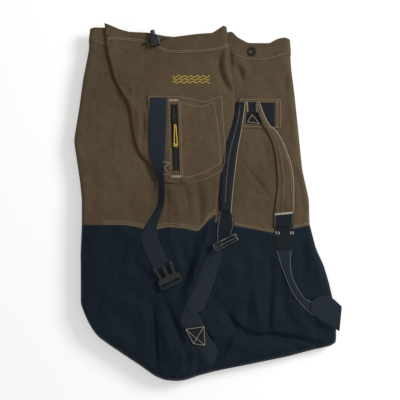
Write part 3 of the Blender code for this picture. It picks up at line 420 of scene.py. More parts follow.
def hem_heights(table, front):
    """Y of the hem's stitching over each column of a section."""
    row = int(np.argmin(abs(SECTION_HEIGHTS - MOUTH)))
    x = table[row, :, 0]
    columns = np.arange(len(x))
    if front:
        return np.where(columns < LEFT_COLUMNS, left_hem(x), front_hem(x))
    return np.where(columns < WRAP_COLUMNS, right_hem(x), back_mouth(x) - 0.034)


def seam_heights(table, front):
    row = int(np.argmin(abs(SECTION_HEIGHTS - SEAM)))
    x = table[row, :, 0]
    if front:
        return seam_line(x)
    return np.where(np.arange(len(x)) < WRAP_COLUMNS + 6, wrap_seam_line(x), SEAM)


def bib_points(table, front):
    """The brown panel: rows from the seam up to the hem's stitching."""
    rows = np.linspace(0.0, 1.0, 104)[:, None]
    low = seam_heights(table, front)[None, :]
    high = hem_heights(table, front)[None, :] + 0.004
    heights = low + (high - low) * rows
    x, z = place_columns(table, heights)
    return np.stack([x, heights, z + lift(x, heights, z)], axis=2)


def hip_points(table, front):
    """The navy panel: rows from the seam down, then round the bottom roll to the floor."""
    down = np.linspace(0.0, 1.0, 66)[:, None]
    top = seam_heights(table, front)[None, :]
    roll = 0.017
    nominal = SEAM + (-0.345 - SEAM) * down
    x, z = place_columns(table, np.repeat(nominal, table.shape[1], axis=1))
    inner = smooth_step(WRAP_COLUMNS + 4, WRAP_COLUMNS + 9, np.arange(table.shape[1]))
    inset = 0.0 if front else 0.012 * inner[None, :]
    base = bottom_edge(x[-1])[None, :] + inset
    heights = top + (base + roll - top) * down
    first_x = place_columns(table, top)[0]
    x = x + (first_x - x[:1]) * (1 - down) ** 2
    z = z + lift(x, heights, z)
    turn = np.linspace(0.0, np.pi, 15)[1:, None]
    middle = (z[-1:] + SOLE) / 2
    half = (z[-1:] - SOLE) / 2
    roll_y = base + roll - roll * np.sin(turn)
    roll_z = middle + half * np.cos(turn)
    roll_x = np.repeat(x[-1:], len(turn), axis=0)
    under_y = base + roll + np.array([[0.008], [0.016], [0.024]])
    under_z = np.full(under_y.shape, SOLE)
    under_x = np.repeat(x[-1:], 3, axis=0)
    points = np.stack([np.vstack([x, roll_x, under_x]), np.vstack([heights, roll_y, under_y]),
                       np.vstack([z, roll_z, under_z])], axis=2)
    return points[::-1]


def lift(x, y, z):
    """Folds move the upper layers, and leave the layer under the opening where it lies."""
    share = smooth_step(FLOOR_LAYER + 0.003, LOW - 0.003, z)
    calm = 1.0 - 0.85 * zip_calm(x, y)
    return share * calm * (fold_height(x, y) + slack(x, y))


def zip_calm(x, y):
    """1 round the zip, whose metal and teeth lie flat, falling to 0 away from it."""
    low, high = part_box("zipper_tape_left")
    far_low, far_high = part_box("zipper_tape_right")
    middle_x = (low[0] + far_high[0]) / 2
    middle_y = (low[1] + high[1]) / 2
    across = np.clip(1.0 - (np.abs(x - middle_x) - 0.020) / 0.030, 0.0, 1.0)
    along = np.clip(1.0 - (np.abs(y - middle_y) - 0.085) / 0.030, 0.0, 1.0)
    return across * along


# --- shader groups -------------------------------------------------------------------------------------
class Nodes:
    """A small writer of node trees: add nodes and join their sockets."""

    def __init__(self, tree):
        self.tree = tree

    def add(self, kind, **settings):
        node = self.tree.nodes.new(kind)
        for key, value in settings.items():
            if key in node.inputs:
                node.inputs[key].default_value = value
            else:
                setattr(node, key.lower(), value)
        return node

    def join(self, source, target):
        self.tree.links.new(source, target)

    def math(self, operation, first, second=None):
        node = self.tree.nodes.new("ShaderNodeMath")
        node.operation = operation
        for slot, value in enumerate((first, second)):
            if value is None:
                continue
            if isinstance(value, (int, float)):
                node.inputs[slot].default_value = value
            else:
                self.join(value, node.inputs[slot])
        return node.outputs[0]

    def noise(self, vector, scale, detail=2.0, roughness=0.5):
        node = self.add("ShaderNodeTexNoise", Scale=scale, Detail=detail, Roughness=roughness)
        self.join(vector, node.inputs["Vector"])
        return node.outputs["Fac"]

    def span(self, value, low, high, new_low=0.0, new_high=1.0):
        node = self.tree.nodes.new("ShaderNodeMapRange")
        node.interpolation_type = "SMOOTHSTEP"
        self.join(value, node.inputs["Value"])
        for key, number in (("From Min", low), ("From Max", high), ("To Min", new_low), ("To Max", new_high)):
            node.inputs[key].default_value = number
        return node.outputs["Result"]

    def blend(self, share, first, second, kind="MIX"):
        node = self.tree.nodes.new("ShaderNodeMix")
        node.data_type = "RGBA"
        node.blend_type = kind
        for socket, value in ((node.inputs[0], share), (node.inputs[6], first), (node.inputs[7], second)):
            if isinstance(value, (int, float)):
                socket.default_value = value
            elif isinstance(value, tuple):
                socket.default_value = (*value, 1.0)
            else:
                self.join(value, socket)
        return node.outputs[2]


def make_group(name, inputs, outputs):
    tree = bpy.data.node_groups.new(name, "ShaderNodeTree")
    for label, value in inputs:
        socket = tree.interface.new_socket(label, in_out="INPUT", socket_type="NodeSocketFloat")
        socket.default_value = value
    for label in outputs:
        tree.interface.new_socket(label, in_out="OUTPUT", socket_type="NodeSocketFloat")
    nodes = Nodes(tree)
    start = nodes.add("NodeGroupInput")
    end = nodes.add("NodeGroupOutput")
    return nodes, start, end


def make_plain_weave():
    """Warp and weft of a plain cloth, on the piece's own UV map: Height, and Thread where a yarn stands out."""
    nodes, start, end = make_group("plain_weave", [("Threads", 1400.0), ("Slub", 0.35)], ["Height", "Thread"])
    place = nodes.add("ShaderNodeUVMap")
    split = nodes.add("ShaderNodeSeparateXYZ")
    nodes.join(place.outputs["UV"], split.inputs[0])
    waves = []
    for axis in (0, 1):
        run = nodes.math("MULTIPLY", split.outputs[axis], start.outputs["Threads"])
        waves.append(nodes.math("SINE", nodes.math("MULTIPLY", run, 3.14159)))
    crossing = nodes.math("MULTIPLY", waves[0], waves[1])
    slubs = nodes.noise(place.outputs["UV"], 420.0, 2.0)
    slub = nodes.math("MULTIPLY", slubs, start.outputs["Slub"])
    height = nodes.math("ADD", nodes.math("MULTIPLY", crossing, 0.5), slub)
    nodes.join(height, end.inputs["Height"])
    nodes.join(nodes.span(height, 0.05, 0.55), end.inputs["Thread"])
    return nodes.tree


def make_cloth_wear():
    """Handling of cloth, on Object coordinates: Fade, Soil and Lint."""
    nodes, start, end = make_group("cloth_wear", [("Lint", 0.5)], ["Fade", "Soil", "Lint"])
    place = nodes.add("ShaderNodeTexCoord").outputs["Object"]
    broad = nodes.noise(place, 5.5, 4.0, 0.55)
    middle = nodes.noise(place, 38.0, 3.0, 0.6)
    fade = nodes.math("ADD", nodes.math("MULTIPLY", broad, 0.65), nodes.math("MULTIPLY", middle, 0.35))
    nodes.join(nodes.span(fade, 0.36, 0.66), end.inputs["Fade"])
    nodes.join(nodes.span(nodes.noise(place, 9.0, 5.0, 0.65), 0.56, 0.74), end.inputs["Soil"])
    cells = nodes.add("ShaderNodeTexVoronoi", Scale=34.0)
    nodes.join(place, cells.inputs["Vector"])
    speck = nodes.span(cells.outputs["Distance"], 0.030, 0.045, 1.0, 0.0)
    picked = nodes.add("ShaderNodeSeparateXYZ")
    nodes.join(cells.outputs["Color"], picked.inputs[0])
    chosen = nodes.span(picked.outputs[0], 0.82, 0.86)
    lint = nodes.math("MULTIPLY", nodes.math("MULTIPLY", speck, chosen), start.outputs["Lint"])
    nodes.join(lint, end.inputs["Lint"])
    return nodes.tree


def make_webbing_weave():
    """Webbing's slanting ribs on the UV map, with fine yarns along it: Height and Rib."""
    nodes, start, end = make_group("webbing_weave", [("Ribs", 420.0), ("Slant", 0.6)], ["Height", "Rib"])
    place = nodes.add("ShaderNodeUVMap")
    split = nodes.add("ShaderNodeSeparateXYZ")
    nodes.join(place.outputs["UV"], split.inputs[0])
    lean = nodes.math("MULTIPLY", split.outputs[0], start.outputs["Slant"])
    slanted = nodes.math("ADD", split.outputs[1], lean)
    turns = nodes.math("MULTIPLY", slanted, start.outputs["Ribs"])
    rib = nodes.math("SINE", nodes.math("MULTIPLY", turns, 6.28318))
    yarn = nodes.math("SINE", nodes.math("MULTIPLY", split.outputs[0], 5200.0))
    rough = nodes.noise(place.outputs["UV"], 300.0, 2.0)
    height = nodes.math("ADD", nodes.math("ADD", nodes.math("MULTIPLY", rib, 0.35),
                                          nodes.math("MULTIPLY", yarn, 0.12)), nodes.math("MULTIPLY", rough, 0.3))
    nodes.join(height, end.inputs["Height"])
    nodes.join(nodes.span(rib, -0.6, 0.8), end.inputs["Rib"])
    return nodes.tree


def make_moulded_grain():
    """Fine grain and rubbed patches of a moulded or cast surface: Height and Rub."""
    nodes, start, end = make_group("moulded_grain", [("Grain", 900.0)], ["Height", "Rub"])
    place = nodes.add("ShaderNodeTexCoord").outputs["Object"]
    scaled = nodes.add("ShaderNodeVectorMath")
    scaled.operation = "SCALE"
    nodes.join(place, scaled.inputs[0])
    nodes.join(start.outputs["Grain"], scaled.inputs["Scale"])
    nodes.join(nodes.noise(scaled.outputs[0], 1.0, 2.0), end.inputs["Height"])
    nodes.join(nodes.span(nodes.noise(place, 120.0, 4.0, 0.65), 0.48, 0.72), end.inputs["Rub"])
    return nodes.tree


PLAIN_WEAVE = make_plain_weave()
CLOTH_WEAR = make_cloth_wear()
WEBBING_WEAVE = make_webbing_weave()
MOULDED_GRAIN = make_moulded_grain()


def start_finish(name, roughness, metallic=0.0, **constants):
    """A new material, its Principled shader, and a writer for its nodes."""
    material = bpy.data.materials.new(name)
    material.use_nodes = True
    nodes = Nodes(material.node_tree)
    shader = material.node_tree.nodes["Principled BSDF"]
    shader.inputs["Roughness"].default_value = roughness
    shader.inputs["Metallic"].default_value = metallic
    for socket, value in constants.items():
        shader.inputs[socket.replace("_", " ")].default_value = value
    return material, shader, nodes


def use_group(nodes, tree, **values):
    node = nodes.tree.nodes.new("ShaderNodeGroup")
    node.node_tree = tree
    for key, value in values.items():
        node.inputs[key].default_value = value
    return node


def add_relief(nodes, shader, height, distance, strength=1.0, under=None):
    bump = nodes.add("ShaderNodeBump", Strength=strength, Distance=distance)
    nodes.join(height, bump.inputs["Height"])
    if under is not None:
        nodes.join(under, bump.inputs["Normal"])
    nodes.join(bump.outputs["Normal"], shader.inputs["Normal"])
    return bump.outputs["Normal"]


def cloth_finish(name, dark, light, faded, threads=1300.0, roughness=0.86, sheen=0.05, lint=0.5,
                 relief=0.00025):
    """Woven cloth: yarns, faded and soiled patches, and a little lint."""
    material, shader, nodes = start_finish(name, roughness, Sheen_Weight=sheen, Sheen_Roughness=0.5,
                                           Specular_IOR_Level=0.16)
    weave = use_group(nodes, PLAIN_WEAVE, Threads=threads)
    wear = use_group(nodes, CLOTH_WEAR, Lint=lint)
    yarn = nodes.blend(weave.outputs["Thread"], dark, light)
    worn = nodes.blend(nodes.math("MULTIPLY", wear.outputs["Fade"], 0.55), yarn, faded)
    soiled = nodes.blend(nodes.math("MULTIPLY", wear.outputs["Soil"], 0.35), worn, dark)
    linted = nodes.blend(wear.outputs["Lint"], soiled, (0.42, 0.40, 0.37))
    nodes.join(linted, shader.inputs["Base Color"])
    nodes.join(nodes.span(wear.outputs["Fade"], 0.0, 1.0, roughness - 0.06, roughness + 0.06),
               shader.inputs["Roughness"])
    place = nodes.add("ShaderNodeTexCoord").outputs["Object"]
    crumple = add_relief(nodes, shader, nodes.noise(place, 26.0, 4.0), 0.0085)
    add_relief(nodes, shader, weave.outputs["Height"], relief, under=crumple)
    return material


def webbing_finish(name, dark, light, ribs=420.0, slant=0.6, roughness=0.66, sheen=0.06):
    """Woven strap: slanting ribs, with paler crowns where it has rubbed."""
    material, shader, nodes = start_finish(name, roughness, Sheen_Weight=sheen, Sheen_Roughness=0.45,
                                           Specular_IOR_Level=0.22)
    weave = use_group(nodes, WEBBING_WEAVE, Ribs=ribs, Slant=slant)
    wear = use_group(nodes, CLOTH_WEAR, Lint=0.2)
    rib = nodes.blend(weave.outputs["Rib"], dark, light)
    faded = nodes.math("MULTIPLY", wear.outputs["Fade"], 0.4)
    nodes.join(nodes.blend(faded, rib, light), shader.inputs["Base Color"])
    nodes.join(nodes.span(wear.outputs["Fade"], 0.0, 1.0, roughness - 0.08, roughness + 0.05),
               shader.inputs["Roughness"])
    add_relief(nodes, shader, weave.outputs["Height"], 0.0003)
    return material


def moulded_finish(name, colour, rubbed, roughness=0.34, metallic=0.0, grain=900.0, relief=0.00005):
    """Moulded plastic or lacquered metal: fine grain, with rubbed patches a little paler and smoother."""
    material, shader, nodes = start_finish(name, roughness, metallic, Specular_IOR_Level=0.5)
    surface = use_group(nodes, MOULDED_GRAIN, Grain=grain)
    nodes.join(nodes.blend(surface.outputs["Rub"], colour, rubbed), shader.inputs["Base Color"])
    nodes.join(nodes.span(surface.outputs["Rub"], 0.0, 1.0, roughness + 0.08, roughness - 0.08),
               shader.inputs["Roughness"])
    add_relief(nodes, shader, surface.outputs["Height"], relief)
    return material


BROWN = cloth_finish("brown_canvas_cloth", (0.094, 0.063, 0.035), (0.136, 0.094, 0.053), (0.160, 0.115, 0.070),
                     threads=1150.0, lint=0.55)
BROWN_INSIDE = cloth_finish("brown_canvas_lining", (0.060, 0.046, 0.032), (0.082, 0.064, 0.046),
                            (0.090, 0.070, 0.052), threads=1500.0, lint=0.2)
NAVY = cloth_finish("navy_nylon_cloth", (0.0040, 0.0098, 0.0185), (0.0072, 0.0165, 0.0300),
                    (0.0110, 0.0215, 0.0355), threads=1500.0, roughness=0.66, sheen=0.03,
                    lint=0.6, relief=0.0002)
NEOPRENE = cloth_finish("neoprene_knit", (0.022, 0.023, 0.025), (0.036, 0.037, 0.040), (0.040, 0.041, 0.043),
                        threads=900.0, roughness=0.82, sheen=0.08, lint=0.4, relief=0.0003)
SLATE = webbing_finish("slate_strap", (0.0090, 0.0155, 0.0235), (0.0215, 0.0325, 0.0455))
STRAP_NAVY = webbing_finish("navy_strap", (0.0055, 0.0095, 0.0150), (0.0110, 0.0165, 0.0240), ribs=520.0)
BLACK_STRAP = webbing_finish("black_strap", (0.0060, 0.0065, 0.0075), (0.0120, 0.0125, 0.0140), ribs=600.0)
PLASTIC = moulded_finish("black_moulding", (0.0085, 0.0085, 0.0095), (0.018, 0.018, 0.019))
GUNMETAL = moulded_finish("dark_lacquered_metal", (0.030, 0.030, 0.032), (0.070, 0.069, 0.067), roughness=0.26,
                          metallic=0.85)


# --- body panels ---------------------------------------------------------------------------------------
def make_panel(name, points, material, node, lining=None):
    piece = put_away(name, grid_mesh(name, points), material)
    if lining is not None:
        piece.data.materials.append(lining)
    wall = piece.modifiers.new("cloth_thickness", "SOLIDIFY")
    wall.thickness = CLOTH
    wall.offset = -1.0
    wall.use_even_offset = False
    wall.material_offset = 1 if lining is not None else 0
    apply_modifiers(piece)
    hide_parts(node)
    return piece


def make_body():
    pieces = {}
    plans = [("bib_front_cloth", bib_points(front_table, True), BROWN, "bib_front_panel", BROWN_INSIDE),
             ("bib_back_cloth", bib_points(back_table, False), BROWN, "bib_back_panel", BROWN_INSIDE),
             ("hip_front_cloth", hip_points(front_table, True), NAVY, "hip_front_panel", None),
             ("hip_back_cloth", hip_points(back_table, False), NAVY, "hip_back_panel", None)]
    for name, points, material, node, lining in plans:
        piece = make_panel(name, points, material, node, lining)
        pieces[name] = piece
    return pieces


# --- legs and booties ----------------------------------------------------------------------------------
LEFT_LEG = [(-0.262, -0.252, -0.010), (-0.225, -0.262, -0.012), (-0.180, -0.262, -0.018), (-0.120, -0.259, -0.026),
            (-0.060, -0.253, -0.036), (0.000, -0.242, -0.048), (0.060, -0.226, -0.058), (0.110, -0.210, -0.064)]
RIGHT_LEG = [(-0.262, 0.006, 0.262), (-0.225, 0.004, 0.258), (-0.180, 0.006, 0.250), (-0.120, 0.010, 0.236),
             (-0.060, 0.016, 0.220), (0.000, 0.024, 0.205), (0.060, 0.034, 0.192), (0.110, 0.042, 0.182)]


def flat_tube(rows, low, high, columns=56, squareness=0.42):
    """A tube of cloth pressed flat: each row is (y, left x, right x, how full it is)."""
    rings = []
    for y, left, right, full in rows:
        centre = (left + right) / 2
        half = (right - left) / 2
        ring = []
        for k in range(columns):
            angle = 2 * math.pi * k / columns
            c, s = math.cos(angle), math.sin(angle)
            x = centre + half * math.copysign(abs(c) ** squareness, c)
            z = (low + high) / 2 + full * (high - low) / 2 * math.copysign(abs(s) ** 0.62, s)
            ring.append((x, y, z))
        rings.append(ring)
    return np.array(rings)


def crumple(points, size, depth, low, high):
    """Uneven slack that stays between the floor and the layer above."""
    flat = points.reshape(-1, 3)
    for point in flat:
        share = noise.noise(Vector(point) / size) + 0.5 * noise.noise(Vector(point) / (0.45 * size))
        middle = (low + high) / 2
        point[2] = min(high, max(low, point[2] - depth * abs(share) * math.copysign(1.0, point[2] - middle)))
        point[0] += 0.6 * depth * share
    return flat.reshape(points.shape)


def make_leg(name, outline, node):
    table = np.array(outline)
    ys = np.linspace(table[0, 0], table[-1, 0], 72)
    rows = []
    for y in ys:
        away = min(y - ys[0], ys[-1] - y)
        full = min(1.0, 0.25 + (away / 0.012) ** 0.5 * 0.75)
        inset = 0.006 * (1 - min(1.0, away / 0.010)) ** 2
        rows.append((y, np.interp(y, table[:, 0], table[:, 1]) + inset, np.interp(y, table[:, 0], table[:, 2]) - inset,
                     full))
    points = crumple(flat_tube(rows, 0.0006, 0.0184), 0.045, 0.0022, 0.0004, 0.0186)
    piece = put_away(name, grid_mesh(name, points, closed=True), NAVY)
    close_ends(piece)
    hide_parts(node)
    return piece


def close_ends(piece):
    """Fills the open ends of a tube and turns its faces outwards."""
    bm = bmesh.new()
    bm.from_mesh(piece.data)
    bmesh.ops.holes_fill(bm, edges=[e for e in bm.edges if e.is_boundary], sides=0)
    bmesh.ops.recalc_face_normals(bm, faces=bm.faces)
    for face in bm.faces:
        face.smooth = len(face.verts) == 4
    bm.to_mesh(piece.data)
    bm.free()


FOOT = [(0.000, -0.056, 0.056), (0.030, -0.070, 0.059), (0.070, -0.078, 0.061), (0.110, -0.064, 0.062),
        (0.160, -0.050, 0.060), (0.200, -0.043, 0.050), (0.220, -0.034, 0.036), (0.231, -0.018, 0.016)]


def make_bootie(name, node, ankle_x, mirror):
    """Neoprene sock, pressed flat, with the ankle's welted seam."""
    low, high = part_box(node)
    table = np.array(FOOT)
    rows = []
    for y in np.linspace(0.0, 0.2305, 60):
        near, far = np.interp(y, table[:, 0], table[:, 1]), np.interp(y, table[:, 0], table[:, 2])
        left, right = (near, far) if not mirror else (-far, -near)
        away = min(y + 0.004, 0.232 - y)
        rows.append((low.y + y, ankle_x + left, ankle_x + right, min(1.0, 0.3 + (away / 0.016) ** 0.5 * 0.7)))
    points = crumple(flat_tube(rows, 0.0006, high.z - 0.0004), 0.060, 0.0018, 0.0004, high.z)
    piece = put_away(name, grid_mesh(name, points, closed=True), NEOPRENE)
    close_ends(piece)
    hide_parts(node)
    welt = flat_tube([(low.y - 0.003 + 0.006 * t, ankle_x + (-0.0575 if not mirror else -0.0570),
                       ankle_x + (0.0570 if not mirror else 0.0575), 0.9 + 0.12 * math.sin(math.pi * t))
                      for t in (0.0, 0.25, 0.5, 0.75, 1.0)], 0.0004, high.z + 0.0008)
    band = put_away(name + "_ankle_welt", grid_mesh(name + "_ankle_welt", welt, closed=True), BLACK_STRAP)
    close_ends(band)
    return piece


# --- resting on the cloth ------------------------------------------------------------------------------
class Surface:
    """Finds the cloth under a point, from straight above."""

    def __init__(self, pieces):
        points, faces = [], []
        for piece in pieces:
            start = len(points)
            points += [v.co.copy() for v in piece.data.vertices]
            faces += [[start + i for i in p.vertices] for p in piece.data.polygons]
        self.tree = BVHTree.FromPolygons(points, faces)

    def find(self, x, y, missing=LOW):
        """Height of the cloth, and its upward direction."""
        place, normal, _, _ = self.tree.ray_cast(Vector((x, y, 0.2)), Vector((0.0, 0.0, -1.0)))
        if place is None:
            return missing, Vector((0.0, 0.0, 1.0))
        if normal.z < 0:
            normal = -normal
        return place.z, normal

    def height(self, x, y, missing=LOW):
        return self.find(x, y, missing)[0]


def smooth_run(values, reach):
    """Moving average that keeps the two ends."""
    padded = np.concatenate([np.full(reach, values[0]), values, np.full(reach, values[-1])])
    return np.convolve(padded, np.ones(2 * reach + 1) / (2 * reach + 1), mode="valid")


def drape_edges(surface, left, right, step=0.004, stiff=3):
    """Two edges of a strap, each point (x, y, how far above the cloth), laid on the surface."""
    span = sum(math.dist(a[:2], b[:2]) for a, b in zip(left, left[1:]))
    count = max(12, int(span / step))
    edges = []
    for side in (left, right):
        line = smooth_line(side, count)
        edges.append(line)
    heights = []
    for line, other in ((edges[0], edges[1]), (edges[1], edges[0])):
        under = []
        for point, far in zip(line, other):
            near = point[:2] * 0.94 + far[:2] * 0.06
            third = point[:2] * 0.72 + far[:2] * 0.28
            half = point[:2] * 0.5 + far[:2] * 0.5
            under.append(max(surface.height(*near), 0.5 * (surface.height(*near) + surface.height(*third)),
                             surface.height(*half) - 0.0006))
        heights.append(smooth_run(np.array(under), stiff))
    return [np.column_stack([line[:, :2], rest + line[:, 2]]) for line, rest in zip(edges, heights)]


def strap_points(left, right, columns=9, crown=0.0003):
    share = np.linspace(0.0, 1.0, columns)[None, :, None]
    points = left[:, None, :] * (1 - share) + right[:, None, :] * share
    points[:, :, 2] += crown * np.sin(np.pi * share[:, :, 0])
    return points


def make_strap(name, points, material, thickness=0.0016, body=BODY, nodes=()):
    """Webbing of the given thickness, with soft edges, standing on its lower face."""
    mesh = grid_mesh(name, points)
    piece = put_away(name, mesh, material, body)
    wall = piece.modifiers.new("webbing_thickness", "SOLIDIFY")
    wall.thickness = thickness
    wall.offset = 1.0
    soft = piece.modifiers.new("webbing_edge", "BEVEL")
    soft.width = 0.0004
    soft.segments = 2
    soft.limit_method = "ANGLE"
    soft.angle_limit = math.radians(50)
    apply_modifiers(piece)
    if nodes:
        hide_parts(*nodes)
    return piece


# --- hem bands -----------------------------------------------------------------------------------------
def band_profile(count=9):
    """Round the hem from its stitching, over the mouth's edge and back inside: (share of its width, outward)."""
    outer, inner = 0.0013, -0.0043
    run = np.linspace(0.0, 1.0, count)
    profile = [(-0.03, 0.0002)]
    profile += [(t, outer * (0.45 + 0.55 * math.sin(math.pi * min(1.0, t * 1.2 + 0.1)))) for t in run * 0.94]
    middle = (outer * 0.5 + inner) / 2
    rise = (outer * 0.5 - inner) / 2
    for angle in (60, 30, 0, -30, -60):
        a = math.radians(angle)
        profile.append((0.96 + 0.04 * math.cos(a), middle + rise * math.sin(a)))
    profile += [(t, inner) for t in run[::-1] * 0.94]
    profile += [(-0.03, inner + 0.001)]
    return profile


def make_band(name, stations, node_names, round_ends):
    """Each station is (position function of Y, upward direction, low Y, high Y)."""
    profile = band_profile()
    rows, plain = [], []
    count = len(stations)
    for index, (place, normal, low, high) in enumerate(stations):
        away = min(index, count - 1 - index)
        full = 1.0
        if round_ends:
            full = min(1.0, math.sin(math.pi / 2 * min(1.0, (away + 0.4) / 4.0)))
        row, under = [], []
        for share, out in profile:
            y = low + (high - low) * share
            x, z = place(y)
            centre = -0.0015
            reach = centre + (out - centre) * full
            under.append((x, y, z))
            row.append((x + normal[0] * reach, y, z + normal[1] * reach))
        rows.append(row)
        plain.append(under)
    points, under = np.array(rows), np.array(plain)
    points[:, :, 2] += lift(under[:, :, 0], under[:, :, 1], under[:, :, 2])
    points = points[:, ::-1]
    piece = put_away(name, grid_mesh(name, points, closed=True), BROWN)
    close_ends(piece)
    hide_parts(*node_names)
    return piece


def front_band_stations():
    stations = []
    start, end = -0.2265, 0.0480
    for share in np.linspace(0.0, 1.0, 120):
        x = start + (end - start) * share
        low, high = float(front_hem(x)), float(front_mouth(x))

        def place(y, share=share):
            left, right = float(pleat_line(y)) + 0.0010, float(ridge_line(y)) - 0.0010
            px = left + (right - left) * share
            roll = 0.0022 * float(smooth_step(0.965, 1.0, share))
            return px, HIGH - roll
        stations.append((place, (0.0, 1.0), low, high))
    return stations


def rear_band_stations():
    """Under the pleat, round the left fold, along the back, round the right fold, to under the ridge."""
    y0 = 0.365
    left, right = float(left_edge(y0)), float(right_edge(y0))
    edge = 0.0105
    path = [(x, LOW, 0.0, 1.0, "left") for x in np.linspace(-0.206, left + edge, 16)]
    middle, rise = (LOW + FLOOR_LAYER) / 2, (LOW - FLOOR_LAYER) / 2
    for angle in np.linspace(100, 260, 11):
        a = math.radians(angle)
        path.append((left + edge + edge * math.cos(a), middle + rise * math.sin(a),
                     math.cos(a), math.sin(a), "turn"))
    path += [(x, FLOOR_LAYER, 0.0, -1.0, "back") for x in np.linspace(left + edge, right - edge, 50)]
    for angle in np.linspace(-80, 80, 11):
        a = math.radians(angle)
        path.append((right - edge + edge * math.cos(a), middle + rise * math.sin(a),
                     math.cos(a), math.sin(a), "turn"))
    path += [(x, LOW, 0.0, 1.0, "right") for x in np.linspace(right - edge, 0.026, 64)]
    lows, highs = [], []
    for x, _, _, _, part in path:
        if part == "left":
            lows.append(float(left_hem(x)))
            highs.append(float(left_mouth(x)))
        elif part == "right":
            lows.append(float(right_hem(x)))
            highs.append(float(right_mouth(x)))
        elif part == "back":
            lows.append(float(back_mouth(x)) - 0.034)
            highs.append(float(back_mouth(x)))
        else:
            lows.append(None)
            highs.append(None)
    index = np.arange(len(path))
    for values in (lows, highs):
        known = [k for k in index if values[k] is not None]
        values[:] = np.interp(index, known, [values[k] for k in known]).tolist()
    stations = []
    for (x, z, nx, nz, part), low, high in zip(path, lows, highs):
        def place(y, x=x, z=z, part=part):
            shift = 0.0
            if x < -0.2:
                shift = float(left_edge(y)) - left
            elif x > 0.12:
                shift = (float(right_edge(y)) - right) * float(smooth_step(0.12, 0.17, x))
            return x + shift, z
        stations.append((place, (nx, nz), low, high))
    return stations


# --- thread --------------------------------------------------------------------------------------------
class Thread:
    """Gathers the stitches of one colour of thread into a single piece."""

    def __init__(self):
        self.points = []
        self.faces = []

    def stitch(self, start, end, up, radius):
        """One stitch: a bowed bead of thread from start to end."""
        start, end = Vector(start), Vector(end)
        along = end - start
        if along.length < 1e-5:
            return
        across = along.cross(up).normalized()
        rise = across.cross(along).normalized()
        base = len(self.points)
        sides = 6
        for share, fat in ((0.0, 0.35), (0.16, 0.9), (0.5, 1.0), (0.84, 0.9), (1.0, 0.35)):
            bow_up = rise * (radius * 0.55 * math.sin(math.pi * share))
            centre = start + along * share + bow_up
            for k in range(sides):
                a = 2 * math.pi * k / sides
                self.points.append(centre + (across * math.cos(a) + rise * 0.7 * math.sin(a)) * radius * fat)
        for ring in range(4):
            for k in range(sides):
                n = (k + 1) % sides
                low, high = base + ring * sides, base + (ring + 1) * sides
                self.faces.append((low + k, low + n, high + n, high + k))
        self.faces.append(tuple(base + k for k in reversed(range(sides))))
        self.faces.append(tuple(base + 4 * sides + k for k in range(sides)))

    def row(self, surface, path, pitch=0.0046, radius=0.00052, fill=0.80, curve=True, missing=LOW):
        """A row of stitches along a path of (x, y), laid on the surface."""
        line = smooth_line([(x, y) for x, y in path], 90) if curve else np.array(path, dtype=float)
        steps = np.linalg.norm(np.diff(line, axis=0), axis=1)
        run = np.concatenate([[0.0], np.cumsum(steps)])
        count = max(1, int(run[-1] / pitch))
        for k in range(count):
            ends = []
            jitter = random.uniform(-0.06, 0.06)
            for share in (k + 0.5 - fill / 2 + jitter, k + 0.5 + fill / 2 + jitter):
                at = share / count * run[-1]
                x, y = np.interp(at, run, line[:, 0]), np.interp(at, run, line[:, 1])
                z, up = surface.find(x, y, missing)
                ends.append(Vector((x, y, z)) + up * radius * 0.35)
            self.stitch(ends[0], ends[1], up, radius)

    def bartack(self, surface, start, end, width=0.0034, radius=0.00042, missing=LOW):
        """A close zigzag of thread between two points."""
        a, b = Vector((*start, 0.0)), Vector((*end, 0.0))
        along = b - a
        side = Vector((-along.y, along.x, 0.0)).normalized() * width / 2
        count = max(4, int(along.length / 0.0007))
        last = None
        for k in range(count + 1):
            spot = a + along * (k / count) + side * (1 if k % 2 else -1)
            z, up = surface.find(spot.x, spot.y, missing)
            spot.z = z + radius * (0.6 + 0.5 * (k % 3) / 2)
            if last is not None:
                self.stitch(last, spot, up, radius)
            last = spot.copy()

    def finish(self, name, material, body=BODY):
        mesh = bpy.data.meshes.new(name)
        mesh.from_pydata(self.points, [], self.faces)
        for polygon in mesh.polygons:
            polygon.use_smooth = len(polygon.vertices) == 4
        return put_away(name, mesh, material, body)


def thread_finish(name, colour, pale):
    material, shader, nodes = start_finish(name, 0.6, Sheen_Weight=0.2)
    place = nodes.add("ShaderNodeTexCoord").outputs["Object"]
    fuzz = nodes.noise(place, 900.0, 3.0)
    nodes.join(nodes.blend(fuzz, colour, pale), shader.inputs["Base Color"])
    nodes.join(nodes.span(fuzz, 0.3, 0.7, 0.5, 0.7), shader.inputs["Roughness"])
    add_relief(nodes, shader, nodes.noise(place, 2600.0, 2.0), 0.00008)
    return material


TAN_THREAD = thread_finish("tan_thread", (0.34, 0.26, 0.16), (0.50, 0.40, 0.27))
CREAM_THREAD = thread_finish("cream_thread", (0.46, 0.43, 0.34), (0.62, 0.59, 0.49))
YELLOW_THREAD = thread_finish("yellow_thread", (0.86, 0.60, 0.050), (0.95, 0.74, 0.12))


# --- pocket ---------------------------------------------------------------------------------------------
def coons(bottom, top, left, right, columns, rows):
    """Points (x, y) filling four edges; bottom and top run left to right, left and right run upwards."""
    low, high = smooth_line(bottom, columns), smooth_line(top, columns)
    near, far = smooth_line(left, rows), smooth_line(right, rows)
    u = np.linspace(0, 1, columns)[None, :, None]
    v = np.linspace(0, 1, rows)[:, None, None]
    across = near[:, None] * (1 - u) + far[:, None] * u
    along = low[None] * (1 - v) + high[None] * v
    corners = (low[0] * (1 - u) * (1 - v) + low[-1] * u * (1 - v) + high[0] * (1 - u) * v + high[-1] * u * v)
    return across + along - corners


